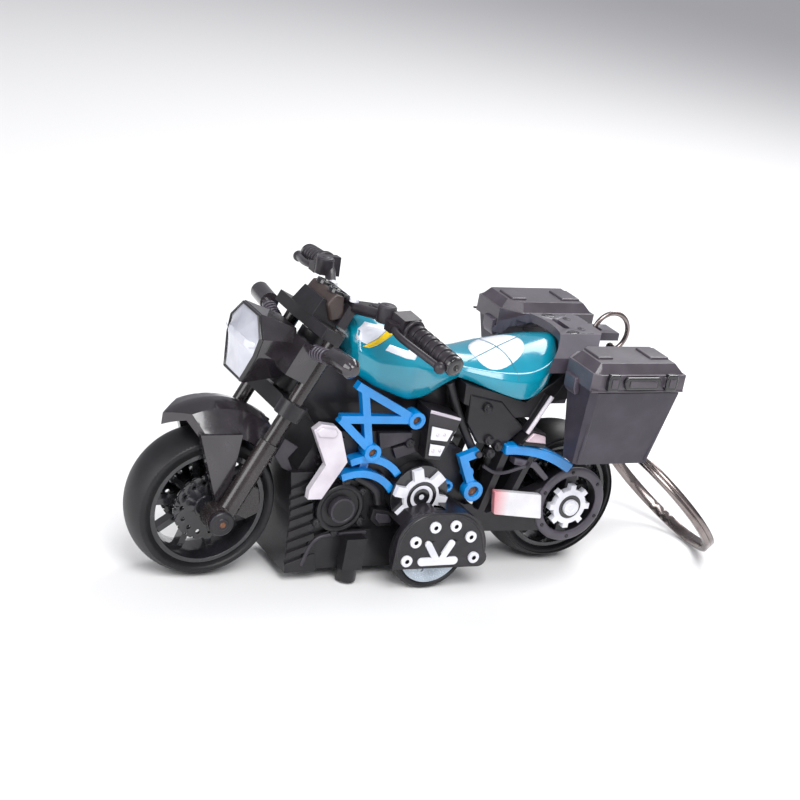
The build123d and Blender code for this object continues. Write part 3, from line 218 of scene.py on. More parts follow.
boss_x, boss_z = 24.1, 14.1
lug_places = [(27.6, 16.9), (28.0, 11.4), (20.2, 16.9), (19.6, 11.3), (23.8, 19.0), (24.2, 9.4),
              (17.2, 19.6), (28.6, 20.6), (12.6, 26.0)]
for side_name, way in sides:
    turned(f"crank_cap_{side_name}", [(0, 8.8), (1.75, 8.8), (2.0, 9.1), (2.32, 9.1), (2.32, 7.8),
                                      (0, 7.8)],
           (boss_x, 0, boss_z), engine_grey, axis=(0, way, 0))
    turned(f"crank_cover_rim_{side_name}", [(3.6, 7.6), (3.6, 8.05), (4.1, 8.2), (4.5, 8.0),
                                            (4.5, 7.4)],
           (boss_x, 0, boss_z), engine_black, axis=(0, way, 0))
    for number, (lug_x, lug_z) in enumerate(lug_places):
        turned(f"engine_lug_{side_name}_{number}", [(0, 8.2), (0.38, 8.2), (0.42, 8.0), (0.78, 8.0),
                                                    (0.9, 7.7), (0.95, 6.5), (0, 6.5)],
               (lug_x, 0, lug_z), engine_black, axis=(0, way, 0), steps=16)
    # oil pump cover behind the crank boss, with a raised lip
    pump = [(17.6, 13.7), (14.2, 13.2), (12.9, 11.9), (13.3, 10.5), (16.2, 10.4), (17.8, 11.8)]
    pump_face = [(16.9, 13.0), (14.5, 12.6), (13.7, 11.8), (13.9, 11.1), (16.0, 11.0), (17.0, 12.0)]
    slab(f"pump_cover_{side_name}", pump, 6.5 * way, 8.1 * way, engine_black)
    slab(f"pump_face_{side_name}", pump_face, 8.0 * way, 8.35 * way, engine_grey)
    # cylinder head blocks seen through the lattice
    slab(f"head_block_{side_name}", [(19.0, 28.0), (12.4, 28.0), (12.4, 26.6), (18.2, 24.8)],
         6.5 * way, 7.6 * way, engine_grey)
    slab(f"coil_block_{side_name}", [(15.6, 24.9), (11.8, 25.9), (10.9, 24.2), (14.6, 22.9)],
         6.5 * way, 7.4 * way, engine_grey)
    for number in range(5):
        fin_z = 20.6 + 1.45 * number
        slab(f"cylinder_fin_{side_name}_{number}", [(29.8, fin_z), (25.4, fin_z + 0.3),
                                                    (25.4, fin_z + 0.85), (29.8, fin_z + 0.55)],
             6.4 * way, 7.5 * way, engine_black, edge=0.08)
    # ribs of the lower crankcase
    rod(f"sump_rib_{side_name}", [(29.6, 7.5 * way, 3.2), (28.2, 7.5 * way, 8.0),
                                  (25.4, 7.5 * way, 9.0), (18.0, 7.5 * way, 9.1)],
        0.35, engine_grey)
    rod(f"starter_pipe_{side_name}", [(22.0, 7.2 * way, 19.8), (17.6, 7.6 * way, 17.6),
                                      (16.6, 7.4 * way, 14.6)], 0.75, engine_black)
    # bracket at the foot of the radiator
    slab(f"radiator_foot_{side_name}", [(37.6, 23.6), (36.2, 26.8), (33.4, 25.2), (35.0, 23.2),
                                        (33.4, 20.2), (35.8, 21.4)],
         5.7 * way, 6.4 * way, engine_grey)

# ---------------------------------------------------------------- clutch covers
# White lacquered star wheels pressed on the engine. The pockets between the spokes
# and the two target rings are printed black.
white_lacquer = plastic("white_lacquer", "silver", (0.74, 0.74, 0.79), (0.60, 0.60, 0.66), 0.20,
                        grain=0.5, relief=0.002, coat=0.5)
gloss_black = plastic("gloss_black", "black", (0.006, 0.006, 0.008), (0.012, 0.011, 0.014), 0.18,
                      grain=0.5, relief=0.002, coat=0.6)
dress(both("clutch_cover"), white_lacquer, 0.12)
clutch_place = (9.6, 0, 16.7)
for side_name, way in sides:
    turned(f"clutch_pockets_{side_name}", [(3.3, 8.95), (3.3, 9.07), (5.58, 9.07), (5.62, 8.9),
                                           (5.62, 6.7), (5.45, 6.7), (5.45, 8.95)],
           clutch_place, gloss_black, axis=(0, way, 0), steps=64, edge=0.03)
    for ring_name, inner, outer in (("hub", 0.5, 1.57), ("ring", 2.2, 2.9)):
        turned(f"clutch_{ring_name}_{side_name}", [(inner, 9.6), (inner, 10.04), (outer, 10.04),
                                                   (outer, 9.6)],
               clutch_place, gloss_black, axis=(0, way, 0), steps=48, edge=0.02)

# ---------------------------------------------------------------- friction motor
# Drawn steel shafts, moulded nylon gears and a turned steel flywheel, closed inside
# the engine. The gears are pressed on their shafts.
turned_steel = plastic("turned_steel", "steel", (0.55, 0.55, 0.56), (0.42, 0.42, 0.43), 0.30,
                       grain=0.08, relief=0.002, metallic=1.0)
nylon = plastic("nylon", "gear", (0.80, 0.79, 0.74), (0.72, 0.71, 0.66), 0.45)
dress("drive_axle rear_axle flywheel", turned_steel, 0.05)
dress("wheel_gear idler_gear flywheel_pinion", nylon, 0)

# ---------------------------------------------------------------- drive wheels
# Two low wheels that spin the motor: silver plastic hubs in thin rubber bands,
# pressed on the ends of the drive axle.
rubber = plastic("rubber", "tyre", (0.0065, 0.0065, 0.008), (0.013, 0.012, 0.015), 0.46, grain=0.2,
                 relief=0.010, shine=0.4)
pale_silver = plastic("pale_silver", "silver", (0.50, 0.57, 0.64), (0.36, 0.42, 0.48), 0.24,
                      grain=0.15, relief=0.002, coat=0.4,
                      metallic=0.5)
dress(both("drive_hub"), pale_silver, 0.1)
dress(both("drive_tyre"), rubber, 0)
drive_x, drive_z, dimple_circle = 7.2, 7.6, 3.9
drive_place = (drive_x, 0, drive_z)
for side_name, way in sides:
    turned(f"drive_hub_cap_{side_name}", [(0, 12.5), (1.4, 12.5), (1.6, 12.65), (1.6, 12.95),
                                          (1.2, 13.05), (0, 13.05)],
           drive_place, turned_steel, body="drive", axis=(0, way, 0), steps=32)
    for number in range(5):
        angle = tau * number / 5
        turned(f"drive_hub_dimple_{side_name}_{number}", [(0.45, 12.5), (0.45, 12.72),
                                                          (0.75, 12.72), (0.75, 12.4)],
               (drive_x + dimple_circle * cos(angle), 0, drive_z + dimple_circle * sin(angle)),
               pale_silver, body="drive", axis=(0, way, 0), steps=16, edge=0.03)

# ---------------------------------------------------------------- fan plates
# Black covers over the drive wheels. The ringed studs and the stiffening rib are
# printed white where they stand proud.
cover_black = plastic("cover_black", "black", (0.0105, 0.0092, 0.0118), (0.022, 0.019, 0.024), 0.33,
                      coat=0.15, shine=0.45)
dress(both("fan_plate"), cover_black, 0.12)


def stadium(x, z, length, width, lean):
    """Outline of a bar with round ends, leaning by this many degrees."""
    outline = []
    reach = (length - width) / 2
    for end in (0, 1):
        for step in range(9):
            angle = radians(-90 + 180 * end + 180 * step / 8)
            along = (reach if end == 0 else -reach) + width / 2 * cos(angle)
            beside = width / 2 * sin(angle)
            outline.append((x + along * cos(radians(lean)) - beside * sin(radians(lean)),
                            z + along * sin(radians(lean)) + beside * cos(radians(lean))))
    return outline


for side_name, way in sides:
    for number, (stud_x, stud_z) in enumerate([(12.9, 6.6), (11.8, 10.2), (8.4, 12.9), (4.3, 13.0),
                                               (0.8, 10.8), (-0.6, 6.7)]):
        turned(f"plate_stud_{side_name}_{number}", [(0.42, 14.6), (0.42, 14.9), (0.98, 14.9),
                                                    (1.06, 14.8), (1.06, 14.32), (0.9, 14.32)],
               (stud_x, 0, stud_z), white_lacquer, axis=(0, way, 0), steps=28, edge=0.03)
    for number, bar in enumerate([(6.6, 6.3, 8.0, 1.5, 0), (5.2, 8.3, 4.4, 1.25, 118),
                                  (8.2, 8.3, 4.6, 1.25, 55)]):
        slab(f"plate_rib_{side_name}_{number}", stadium(*bar), 14.25 * way,
             (14.8 + 0.03 * number) * way, white_lacquer, edge=0.1)
    rod(f"plate_rim_{side_name}", [(15.0, 14.1 * way, 5.6), (15.0, 14.2 * way, 10.8),
                                   (12.4, 14.2 * way, 14.3), (8.8, 14.2 * way, 15.3),
                                   (2.6, 14.2 * way, 15.1), (-1.2, 14.2 * way, 12.2),
                                   (-2.8, 14.1 * way, 7.4)], 0.28, cover_black)

# ---------------------------------------------------------------- shrouds and airbox funnels
# Bent silver blades beside the radiator, and the black intake funnels behind the
# cylinders with two white pressed panels each.
shroud_silver = plastic("shroud_silver", "silver", (0.66, 0.62, 0.67), (0.52, 0.47, 0.53), 0.30,
                        grain=0.2, relief=0.003, coat=0.3,
                        metallic=0.15)
dress(both("shroud"), shroud_silver, 0.35)
dress(both("airbox"), cover_black, 0.15)
for side_name, way in sides:
    slab(f"shroud_fold_{side_name}", [(32.3, 29.4), (31.2, 30.2), (28.8, 29.9), (28.0, 29.0),
                                      (28.6, 28.2), (31.6, 28.4)],
         9.4 * way, 9.95 * way, shroud_silver, edge=0.25)
    for number, panel in enumerate([[(9.9, 29.9), (5.6, 29.0), (6.4, 27.0), (9.75, 27.4)],
                                    [(9.6, 26.6), (6.6, 26.1), (7.2, 24.2), (9.5, 24.4)]]):
        slab(f"airbox_panel_{side_name}_{number}", panel, 9.3 * way, 9.62 * way, white_lacquer,
             edge=0.1)
        middle_x = sum(x for x, z in panel) / 4
        middle_z = sum(z for x, z in panel) / 4
        for offset in (-0.7, 0.7):
            turned(f"airbox_rivet_{side_name}_{number}_{'b' if offset > 0 else 'a'}",
                   [(0, 9.6), (0.3, 9.6), (0.22, 9.78), (0, 9.8)],
                   (middle_x + offset, 0, middle_z), shroud_silver, axis=(0, way, 0), steps=14,
                   edge=0)
    rod(f"airbox_lip_{side_name}", [(10.6, 9.0 * way, 32.5), (4.3, 9.0 * way, 30.95)], 0.32,
        shroud_silver)

# ---------------------------------------------------------------- trellis frame and footrest brackets
# Bright blue lattice sides with round eyes, moulded in one and lacquered before
# assembly. Copper-coloured screws sit in the eyes.
blue_lacquer = plastic("blue_lacquer", "blue", (0.0005, 0.235, 0.640), (0.0005, 0.190, 0.540), 0.20,
                       grain=0.5, relief=0.002, coat=0.6)
copper_screw = plastic("copper_screw", "black", (0.16, 0.062, 0.022), (0.09, 0.034, 0.014), 0.35,
                       grain=0.2, relief=0.004)
dress(both("trellis"), blue_lacquer, 0.35)
dress(both("footrest_bracket"), blue_lacquer, 0.3)
for side_name, way in sides:
    for number, (x, z, radius, depth) in enumerate([(13.0, 30.9, 0.79, 8.6),
                                                    (20.5, 25.0, 0.79, 8.6),
                                                    (-1.3, 17.0, 1.04, 8.5)]):
        turned(f"frame_screw_{side_name}_{number}", [(0, depth + 0.1), (radius * 0.4, depth + 0.1),
                                                     (radius * 0.5, depth + 0.22),
                                                    (radius, depth + 0.15), (radius, depth - 0.1),
                                                     (0, depth - 0.1)],
               (x, 0, z), copper_screw, axis=(0, way, 0), steps=24, edge=0.02)
    turned(f"clutch_eye_{side_name}", [(0.52, 6.5), (0.52, 8.0), (1.05, 8.0), (1.1, 7.9),
                                       (1.1, 6.5)], (3.4, 0, 17.5), blue_lacquer,
           axis=(0, way, 0), steps=28)
    turned(f"bracket_pin_{side_name}", [(0, 9.6), (0.5, 9.6), (0.62, 9.3), (0.62, 7.0), (0, 7.0)],
           (-0.9, 0, 24.2), engine_grey,
           axis=(0, way, 0), steps=18)

# ---------------------------------------------------------------- fuel tank
# Faceted hollow shell in gloss turquoise lacquer, clipped over the main frame. The
# white and yellow flashes are printed on each flank.


def shell(name, sections, material, creases, ring_creases=(), body="chassis"):
    """Smooth closed body through half sections, each from the top middle to the bottom middle."""
    points = []
    for half in sections:
        points += half + [(x, -y, z) for x, y, z in half[-2:0:-1]]
    count = len(points) // len(sections)
    faces = [tuple(range(count)), tuple(range(len(points) - 1, len(points) - 1 - count, -1))]
    for row in range(len(sections) - 1):
        for step in range(count):
            after = (step + 1) % count
            low = row * count
            faces.append((low + step, low + after, low + count + after, low + count + step))
    item = build(name, points, faces, material, body, edge=0)
    item.modifiers.clear()
    work = bmesh.new()
    work.from_mesh(item.data)
    work.verts.ensure_lookup_table()
    sharp = work.edges.layers.float.new("crease_edge")
    for edge in work.edges:
        rows = sorted(vert.index // count for vert in edge.verts)
        steps = [min(vert.index % count, count - vert.index % count) for vert in edge.verts]
        if rows[0] != rows[1] and steps[0] in creases:
            edge[sharp] = creases[steps[0]]
        elif rows[0] == rows[1] and (rows[0] in ring_creases or rows[0] in (0, len(sections) - 1)):
            edge[sharp] = 0.45
    work.to_mesh(item.data)
    work.free()
    smooth = item.modifiers.new("smooth", "SUBSURF")
    smooth.levels = 3
    smooth.render_levels = 3
    return item


turquoise = plastic("turquoise", "turquoise", (0.0010, 0.240, 0.345), (0.0010, 0.205, 0.305), 0.17,
                    grain=0.9, relief=0.003, coat=0.7)
tank_sections = [
    [(26.0, 0, 46.5), (26.1, 2.6, 46.6), (26.5, 5.0, 45.3), (26.9, 6.6, 43.3), (26.4, 6.4, 41.0),
     (25.6, 5.6, 39.4), (25.4, 0, 39.4)],
    [(25.2, 0, 47.3), (25.3, 3.0, 47.6), (25.6, 6.0, 46.1), (26.0, 8.2, 43.3), (25.6, 8.2, 40.6),
     (24.6, 7.0, 38.2), (24.4, 0, 38.2)],
    [(22.4, 0, 47.8), (22.4, 3.4, 48.4), (22.5, 6.4, 46.4), (22.6, 9.4, 41.8), (22.3, 9.2, 39.2),
     (21.8, 7.8, 36.7), (21.8, 0, 36.6)],
    [(18.4, 0, 47.4), (18.4, 3.4, 48.1), (18.4, 6.2, 46.1), (18.4, 9.5, 41.3), (18.3, 9.2, 38.0),
     (18.0, 7.7, 35.2), (18.0, 0, 35.2)],
    [(15.0, 0, 46.4), (15.0, 3.3, 47.0), (15.0, 6.0, 45.0), (15.2, 9.4, 41.0), (15.0, 8.8, 37.2),
     (14.8, 7.3, 34.0), (14.8, 0, 34.0)],
    [(12.0, 0, 44.9), (12.0, 3.2, 45.4), (12.0, 5.8, 43.4), (12.6, 8.6, 40.0), (12.0, 7.9, 36.6),
     (11.4, 6.9, 34.0), (11.4, 0, 34.0)],
    [(9.0, 0, 43.1), (9.0, 3.0, 43.4), (9.0, 5.4, 41.9), (9.2, 7.2, 39.6), (9.0, 7.1, 37.4),
     (9.0, 6.5, 35.4), (9.0, 0, 35.4)],
    [(6.0, 0, 41.7), (6.0, 2.8, 41.9), (6.0, 4.8, 40.9), (6.0, 6.3, 39.2), (6.0, 6.2, 37.9),
     (6.0, 5.8, 36.8), (6.0, 0, 36.8)],
    [(3.8, 0, 41.0), (3.8, 2.6, 41.1), (3.8, 4.4, 40.4), (3.8, 5.6, 39.2), (3.8, 5.5, 38.2),
     (3.8, 5.2, 37.4), (3.8, 0, 37.4)],
]
tank = shell("tank_shell", tank_sections, turquoise, {2: 0.45, 3: 0.75, 4: 0.4, 5: 0.8},
             ring_creases=(1, 2, 4))
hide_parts("fuel_tank")


def printed(name, outline, onto, material, way=0, lift=0.05, body="chassis"):
    """Thin print: an outline in x, z laid on from the side, or in x, y from above if way is 0."""
    longest_edge = 0.7
    clear_of_part = 60
    bpy.context.view_layer.update()
    surface = BVHTree.FromObject(onto, bpy.context.evaluated_depsgraph_get())
    work = bmesh.new()
    work.faces.new([work.verts.new((a, b, 0)) for a, b in outline])
    bmesh.ops.triangulate(work, faces=work.faces)
    for _ in range(5):
        long_edges = [edge for edge in work.edges if edge.calc_length() > longest_edge]
        if long_edges:
            bmesh.ops.subdivide_edges(work, edges=long_edges, cuts=1)
            bmesh.ops.triangulate(work, faces=[face for face in work.faces if len(face.verts) > 3])
    aim = Vector((0, -way, 0)) if way else Vector((0, 0, -1))
    for vert in work.verts:
        a, b, _ = vert.co
        start = Vector((a, clear_of_part * way, b)) if way else Vector((a, b, clear_of_part))
        place, normal, _, _ = surface.ray_cast(start * mm, aim)
        if place is None:
            place, normal, _, _ = surface.find_nearest(start * mm)
        vert.co = place + normal * lift * mm
    for face in work.faces:
        face.normal_update()
        if face.normal.dot(aim) > 0:
            face.normal_flip()
        face.smooth = True
    mesh = bpy.data.meshes.new(name)
    work.to_mesh(mesh)
    work.free()
    mesh.materials.append(material)
    item = bpy.data.objects.new(name, mesh)
    bpy.context.scene.collection.objects.link(item)
    thick = item.modifiers.new("thick", "SOLIDIFY")
    sunk = 0.04
    thick.thickness = (lift + sunk) * mm
    thick.offset = -1
    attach(item, body)
    return item


yellow_print = plastic("yellow_print", "turquoise", (0.80, 0.56, 0.002), (0.70, 0.46, 0.002), 0.24,
                       grain=0.5, relief=0.002, coat=0.5)
white_print = plastic("white_print", "silver", (0.78, 0.80, 0.86), (0.66, 0.68, 0.76), 0.22,
                      grain=0.4, relief=0.002, coat=0.5)
nose_panel = [(26.2, 44.9), (25.6, 46.3), (24.0, 47.2), (21.4, 47.0), (20.0, 46.6), (22.6, 45.2),
              (24.6, 44.3)]
stripe = [(25.4, 44.0), (24.5, 44.3), (22.5, 45.15), (20.0, 46.55), (18.4, 46.2), (20.4, 45.2),
          (22.8, 44.2), (24.2, 43.8)]
bent_flash = [(21.2, 43.5), (20.2, 44.3), (16.6, 43.2), (15.6, 43.9), (14.0, 43.0), (15.4, 41.9),
              (17.2, 42.2)]
for side_name, way in sides:
    printed(f"tank_nose_print_{side_name}", nose_panel, tank, white_print, way)
    printed(f"tank_stripe_{side_name}", stripe, tank, yellow_print, way)
    printed(f"tank_flash_{side_name}", bent_flash, tank, white_print, way)
spine = [(25.6, 1.9), (22.0, 2.2), (12.0, 2.0), (8.8, 1.2), (8.8, -1.2), (12.0, -2.0), (22.0, -2.2),
         (25.6, -1.9)]
tank_spine = printed("tank_spine", spine, tank, cover_black, lift=0.5)
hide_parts("tank_strip")
cap_x, cap_z, cap_screw_circle = 19.4, 47.7, 1.5
turned("filler_cap", [(0, 0.9), (1.1, 0.9), (1.35, 0.7), (1.7, 0.7), (1.8, 0), (0, 0)],
       (cap_x, 0, cap_z), cover_black, axis=(-0.05, 0, 1), steps=28)
for number in range(3):
    turned(f"filler_screw_{number}", [(0, 0.9), (0.16, 0.9), (0.16, 0.6), (0, 0.6)],
           (cap_x + cap_screw_circle * cos(tau * number / 3),
            cap_screw_circle * sin(tau * number / 3), cap_z), engine_grey, axis=(0, 0, 1), steps=10,
           edge=0)

# ---------------------------------------------------------------- seat cowl
# One moulding with the tank's colour: a crowned pad with a raised rim, a crossed
# groove drawn only as darker turquoise lines of painted shade, and a white pane print,
# clipped over the subframe.
seat_sizes = [(5.0, 5.3, 40.8, 37.5), (2.5, 6.0, 40.7, 37.0), (0.0, 7.2, 40.9, 36.3),
              (-3.0, 8.6, 41.4, 35.5), (-6.0, 9.2, 42.0, 34.6),
              (-9.0, 9.2, 42.6, 33.9), (-12.0, 8.5, 43.1, 35.4), (-14.4, 6.9, 43.4, 37.0),
              (-16.4, 4.6, 43.7, 38.4), (-17.4, 2.3, 43.8, 39.2)]
# shares of the half width and of the height, from the middle of the pad down to the skirt
seat_shares = [(0.35, 0.04), (0.65, 0.16), (0.88, 0.38), (0.92, 0.39), (1, 0.56), (0.99, 0.80)]
seat_sections = []
for x, half, top, bottom in seat_sizes:
    rise = top - bottom
    crown = [(x, half * across, top - down * rise) for across, down in seat_shares]
    seat_sections.append([(x, 0, top)] + crown + [(x, half * 0.93, bottom), (x, 0, bottom)])
seat = shell("seat_shell", seat_sections, turquoise, {3: 0.5, 4: 0.4, 5: 0.5, 7: 0.8})
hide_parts("seat_cowl")

pane_x, pane_y = -5.0, 1.4
pane_leans = (radians(22), radians(99))


def pane(quarter):
    """One quarter of a round-cornered patch, with a narrow gap along the crossed grooves."""
    long_way, short_way, gap = 5.7, 5.0, 0.14
    corners = [(gap, gap)]
    for step in range(9):
        angle = radians(90) * step / 8
        corners.append((max(gap, long_way * cos(angle) ** 0.85),
                        max(gap, short_way * sin(angle) ** 0.85)))
    flip_a = 1 if quarter in (0, 3) else -1
    flip_b = 1 if quarter in (0, 1) else -1
    along, across = pane_leans
    return [(pane_x + flip_a * a * cos(along) + flip_b * b * cos(across),
             pane_y + flip_a * a * sin(along) + flip_b * b * sin(across)) for a, b in corners]


for quarter in range(4):
    printed(f"seat_pane_{quarter}", pane(quarter), seat, white_print, lift=0.04)
# The grooves are not cut into the pad: each is a darker turquoise strip printed flat on it, painted
# shade standing in for the groove's recess.
groove_shade_paint = plastic("groove_shade_paint", "turquoise", (0.001, 0.170, 0.230), (0.001, 0.140, 0.190),
                      0.30)
groove_half = 0.12
for number, (lean, reach) in enumerate(zip(pane_leans, (7.6, 8.2))):
    ends = [(reach, groove_half), (reach, -groove_half), (-reach, -groove_half),
            (-reach, groove_half)]
    groove = [(pane_x + a * cos(lean) - b * sin(lean), pane_y + a * sin(lean) + b * cos(lean))
              for a, b in ends]
    printed(f"seat_groove_shade_{number}", groove, seat, groove_shade_paint, lift=0.015)

# ---------------------------------------------------------------- main frame, subframe and silencer
# The black spine under tank and seat, with silver struts down to the crosswise
# silencer and its two pinkish end caps.
dress("main_frame", engine_black, 0.2)
dress("seat_subframe silencer", engine_black, 0.2)
rose_silver = plastic("rose_silver", "silver", (0.60, 0.47, 0.52), (0.45, 0.33, 0.38), 0.30,
                      grain=0.3, relief=0.003, coat=0.3, metallic=0.2)
for side_name, way in sides:
    slab(f"silencer_cap_{side_name}", [(-9.2, 26.0), (-11.2, 28.3), (-13.8, 27.6), (-14.2, 25.8)],
         9.2 * way, 9.9 * way, rose_silver, edge=0.25)
    slab(f"silencer_lip_{side_name}", [(-9.0, 26.2), (-13.9, 25.7), (-14.0, 26.3), (-9.5, 26.8)],
         9.3 * way, 10.1 * way, engine_black, edge=0.1)
    rod(f"silver_strut_{side_name}", [(-10.4, 8.8 * way, 27.9), (-14.0, 8.8 * way, 35.0)], 0.42,
        shroud_silver)
    rod(f"tank_stay_{side_name}", [(5.6, 5.4 * way, 36.4), (3.0, 6.6 * way, 30.2),
                                   (-0.6, 6.9 * way, 24.6)], 0.8, engine_black)
    slab(f"battery_cover_{side_name}", [(2.2, 35.0), (-4.6, 33.6), (-10.2, 28.4), (-6.6, 25.0),
                                        (-1.2, 25.6), (1.8, 29.6)],
         6.4 * way, 7.7 * way, engine_black, edge=0.3)
    for number, (x, z) in enumerate([(-3.2, 26.4), (-5.4, 25.2), (-4.0, 23.8), (-1.6, 32.6)]):
        turned(f"subframe_bolt_{side_name}_{number}", [(0, 8.6), (0.5, 8.6), (0.55, 8.4),
                                                       (0.9, 8.3), (0.95, 6.8), (0, 6.8)],
               (x, 0, z), engine_black, axis=(0, way, 0), steps=18)

# ---------------------------------------------------------------- tail rack
# Grey arched saddle behind the seat that closes the tail and holds both cases; its
# tongue carries the key chain.
rack_grey = plastic("rack_grey", "black", (0.052, 0.044, 0.060), (0.075, 0.064, 0.086), 0.34,
                    coat=0.15)
dress("tail_rack", rack_grey, 0.25)
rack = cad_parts["tail_rack"]
for side_name, way in sides:
    printed(f"rack_hole_shadow_{side_name}", stadium(-18.6, 4.4 * way, 2.6, 1.7, 20 * way), rack,
            gloss_black, lift=0.02)
printed("rack_slot_shadow", stadium(-18.6, 0, 4.6, 1.3, 90), rack, gloss_black, lift=0.02)
seam_width = 0.25
for number, front_y in enumerate((-4.4, 4.4)):
    back_y = front_y * 1.1
    line = [(-17.0, front_y), (-19.6, back_y), (-22.6, back_y), (-22.6, back_y + seam_width),
            (-19.6, back_y + seam_width), (-17.0, front_y + seam_width)]
    printed(f"rack_seam_{number}", line, rack, gloss_black, lift=0.02)
for side_name, way in sides:
    turned(f"rack_screw_{side_name}", [(0, 0.35), (0.35, 0.35), (0.45, 0.2), (0.75, 0.2), (0.8, 0),
                                       (0, 0)], (-21.5, 2.6 * way, 45.5), engine_grey,
           axis=(0, 0, 1), steps=20)

# ---------------------------------------------------------------- side cases
# Black-grey moulded boxes with hinged-looking lids, two latches and a long pull on
# each outer face. The lids are glued on.
case_grey = plastic("case_grey", "case", (0.033, 0.028, 0.040), (0.050, 0.043, 0.060), 0.42,
                    grain=0.3, relief=0.010, shine=0.4)
lid_grey = plastic("lid_grey", "lid", (0.052, 0.043, 0.055), (0.078, 0.066, 0.082), 0.30, coat=0.25)
dress(both("case"), case_grey, 0.25)
dress(both("case_lid"), lid_grey, 0.3)
for side_name, way in sides:
    for number, middle in enumerate((-16.9, -29.1)):
        slab(f"latch_{side_name}_{number}", [(middle + 1.0, 44.3), (middle - 1.0, 44.3),
                                             (middle - 1.3, 43.2), (middle - 1.1, 41.3),
                                             (middle + 1.1, 41.3), (middle + 1.3, 43.2)],
             21.0 * way, 22.1 * way, gloss_black, edge=0.2)
        slab(f"latch_face_{side_name}_{number}", [(middle + 0.6, 43.6), (middle - 0.6, 43.6),
                                                  (middle - 0.6, 42.0), (middle + 0.6, 42.0)],
             21.9 * way, 22.3 * way, lid_grey, edge=0.12)
    slab(f"lid_pull_{side_name}", [(-19.6, 43.8), (-26.4, 43.8), (-26.9, 42.9), (-26.3, 41.5),
                                   (-19.7, 41.5), (-19.1, 42.9)],
         21.0 * way, 22.0 * way, gloss_black, edge=0.25)
    slab(f"lid_pull_face_{side_name}", [(-20.2, 43.2), (-25.8, 43.2), (-25.8, 42.1), (-20.2, 42.1)],
         21.8 * way, 22.25 * way, lid_grey, edge=0.15)
    slab(f"lid_rim_{side_name}", [(-13.0, 41.2), (-32.4, 41.2), (-32.4, 40.8), (-13.0, 40.8)],
         20.9 * way, 21.35 * way, lid_grey, edge=0.12)
    for number, (front, back) in enumerate(((-15.6, -18.8), (-26.6, -30.6))):
        slab(f"lid_pad_{side_name}_{number}", [(front, 12.6 * way), (front, 17.6 * way),
                                               (back, 17.6 * way), (back, 12.6 * way)],
             45.2, 45.95, lid_grey, edge=0.25, lay="top")
    slab(f"case_hook_{side_name}", [(-12.6, 41.6), (-13.9, 41.8), (-14.0, 38.6), (-13.2, 38.4),
                                    (-12.7, 39.4)], 13.0 * way, 16.4 * way,
         rack_grey, edge=0.2)
    for edge_name, top_x, bottom_x in (("front", -15.4 + 0.1, -15.4 - 1.3),
                                       ("back", -31.6 + 0.1, -31.6 - 1.3 + 1.9)):
        rod(f"case_edge_{side_name}_{edge_name}", [(top_x, 20.1 * way, 39.8),
                                                   (bottom_x, 16.9 * way, 25.8)],
            0.35, case_grey)

# ---------------------------------------------------------------- swingarm, side boxes and sprockets
# Black swingarm with blue rails on top and a guard ring round each white sprocket;
# a white box with a rose end hangs on each side.
dress("swingarm", engine_black, 0.15)
dress(both("sprocket"), white_lacquer, 0.1)
blush = plastic("blush_silver", "silver", (0.74, 0.73, 0.75), (0.64, 0.63, 0.66), 0.28, grain=0.3,
                relief=0.003, coat=0.3)
blush_nodes = blush.node_tree.nodes
blush_link = blush.node_tree.links.new
blush_place = blush_nodes.new("ShaderNodeTexCoord")
blush_split = blush_nodes.new("ShaderNodeSeparateXYZ")
blush_fade = blush_nodes.new("ShaderNodeMapRange")
blush_fade.inputs["From Min"].default_value = -9.5 * mm
blush_fade.inputs["From Max"].default_value = -6.2 * mm
blush_mix = blush_nodes.new("ShaderNodeMix")
blush_mix.data_type = "RGBA"
blush_mix.inputs["B"].default_value = (0.66, 0.23, 0.26, 1)
blush_link(blush_place.outputs["Object"], blush_split.inputs["Vector"])
blush_link(blush_split.outputs["X"], blush_fade.inputs["Value"])
blush_link(blush_fade.outputs["Result"], blush_mix.inputs["Factor"])
blush_link(blush_nodes["tint"].outputs["Result"], blush_mix.inputs["A"])
blush_link(blush_mix.outputs["Result"], blush_nodes["Principled BSDF"].inputs["Base Color"])
dress(both("side_box"), blush, 0.25)


def band(start, middle, end, width):
    """Outline of a curved strip through three places in x, z."""
    upper, lower = [], []
    for step in range(13):
        t = step / 12
        x = (1 - t) ** 2 * start[0] + 2 * t * (1 - t) * middle[0] + t * t * end[0]
        z = (1 - t) ** 2 * start[1] + 2 * t * (1 - t) * middle[1] + t * t * end[1]
        way_x = 2 * (1 - t) * (middle[0] - start[0]) + 2 * t * (end[0] - middle[0])
        way_z = 2 * (1 - t) * (middle[1] - start[1]) + 2 * t * (end[1] - middle[1])
        size = hypot(way_x, way_z)
        upper.append((x - way_z / size * width / 2, z + way_x / size * width / 2))
        lower.append((x + way_z / size * width / 2, z - way_x / size * width / 2))
    return upper + lower[::-1]


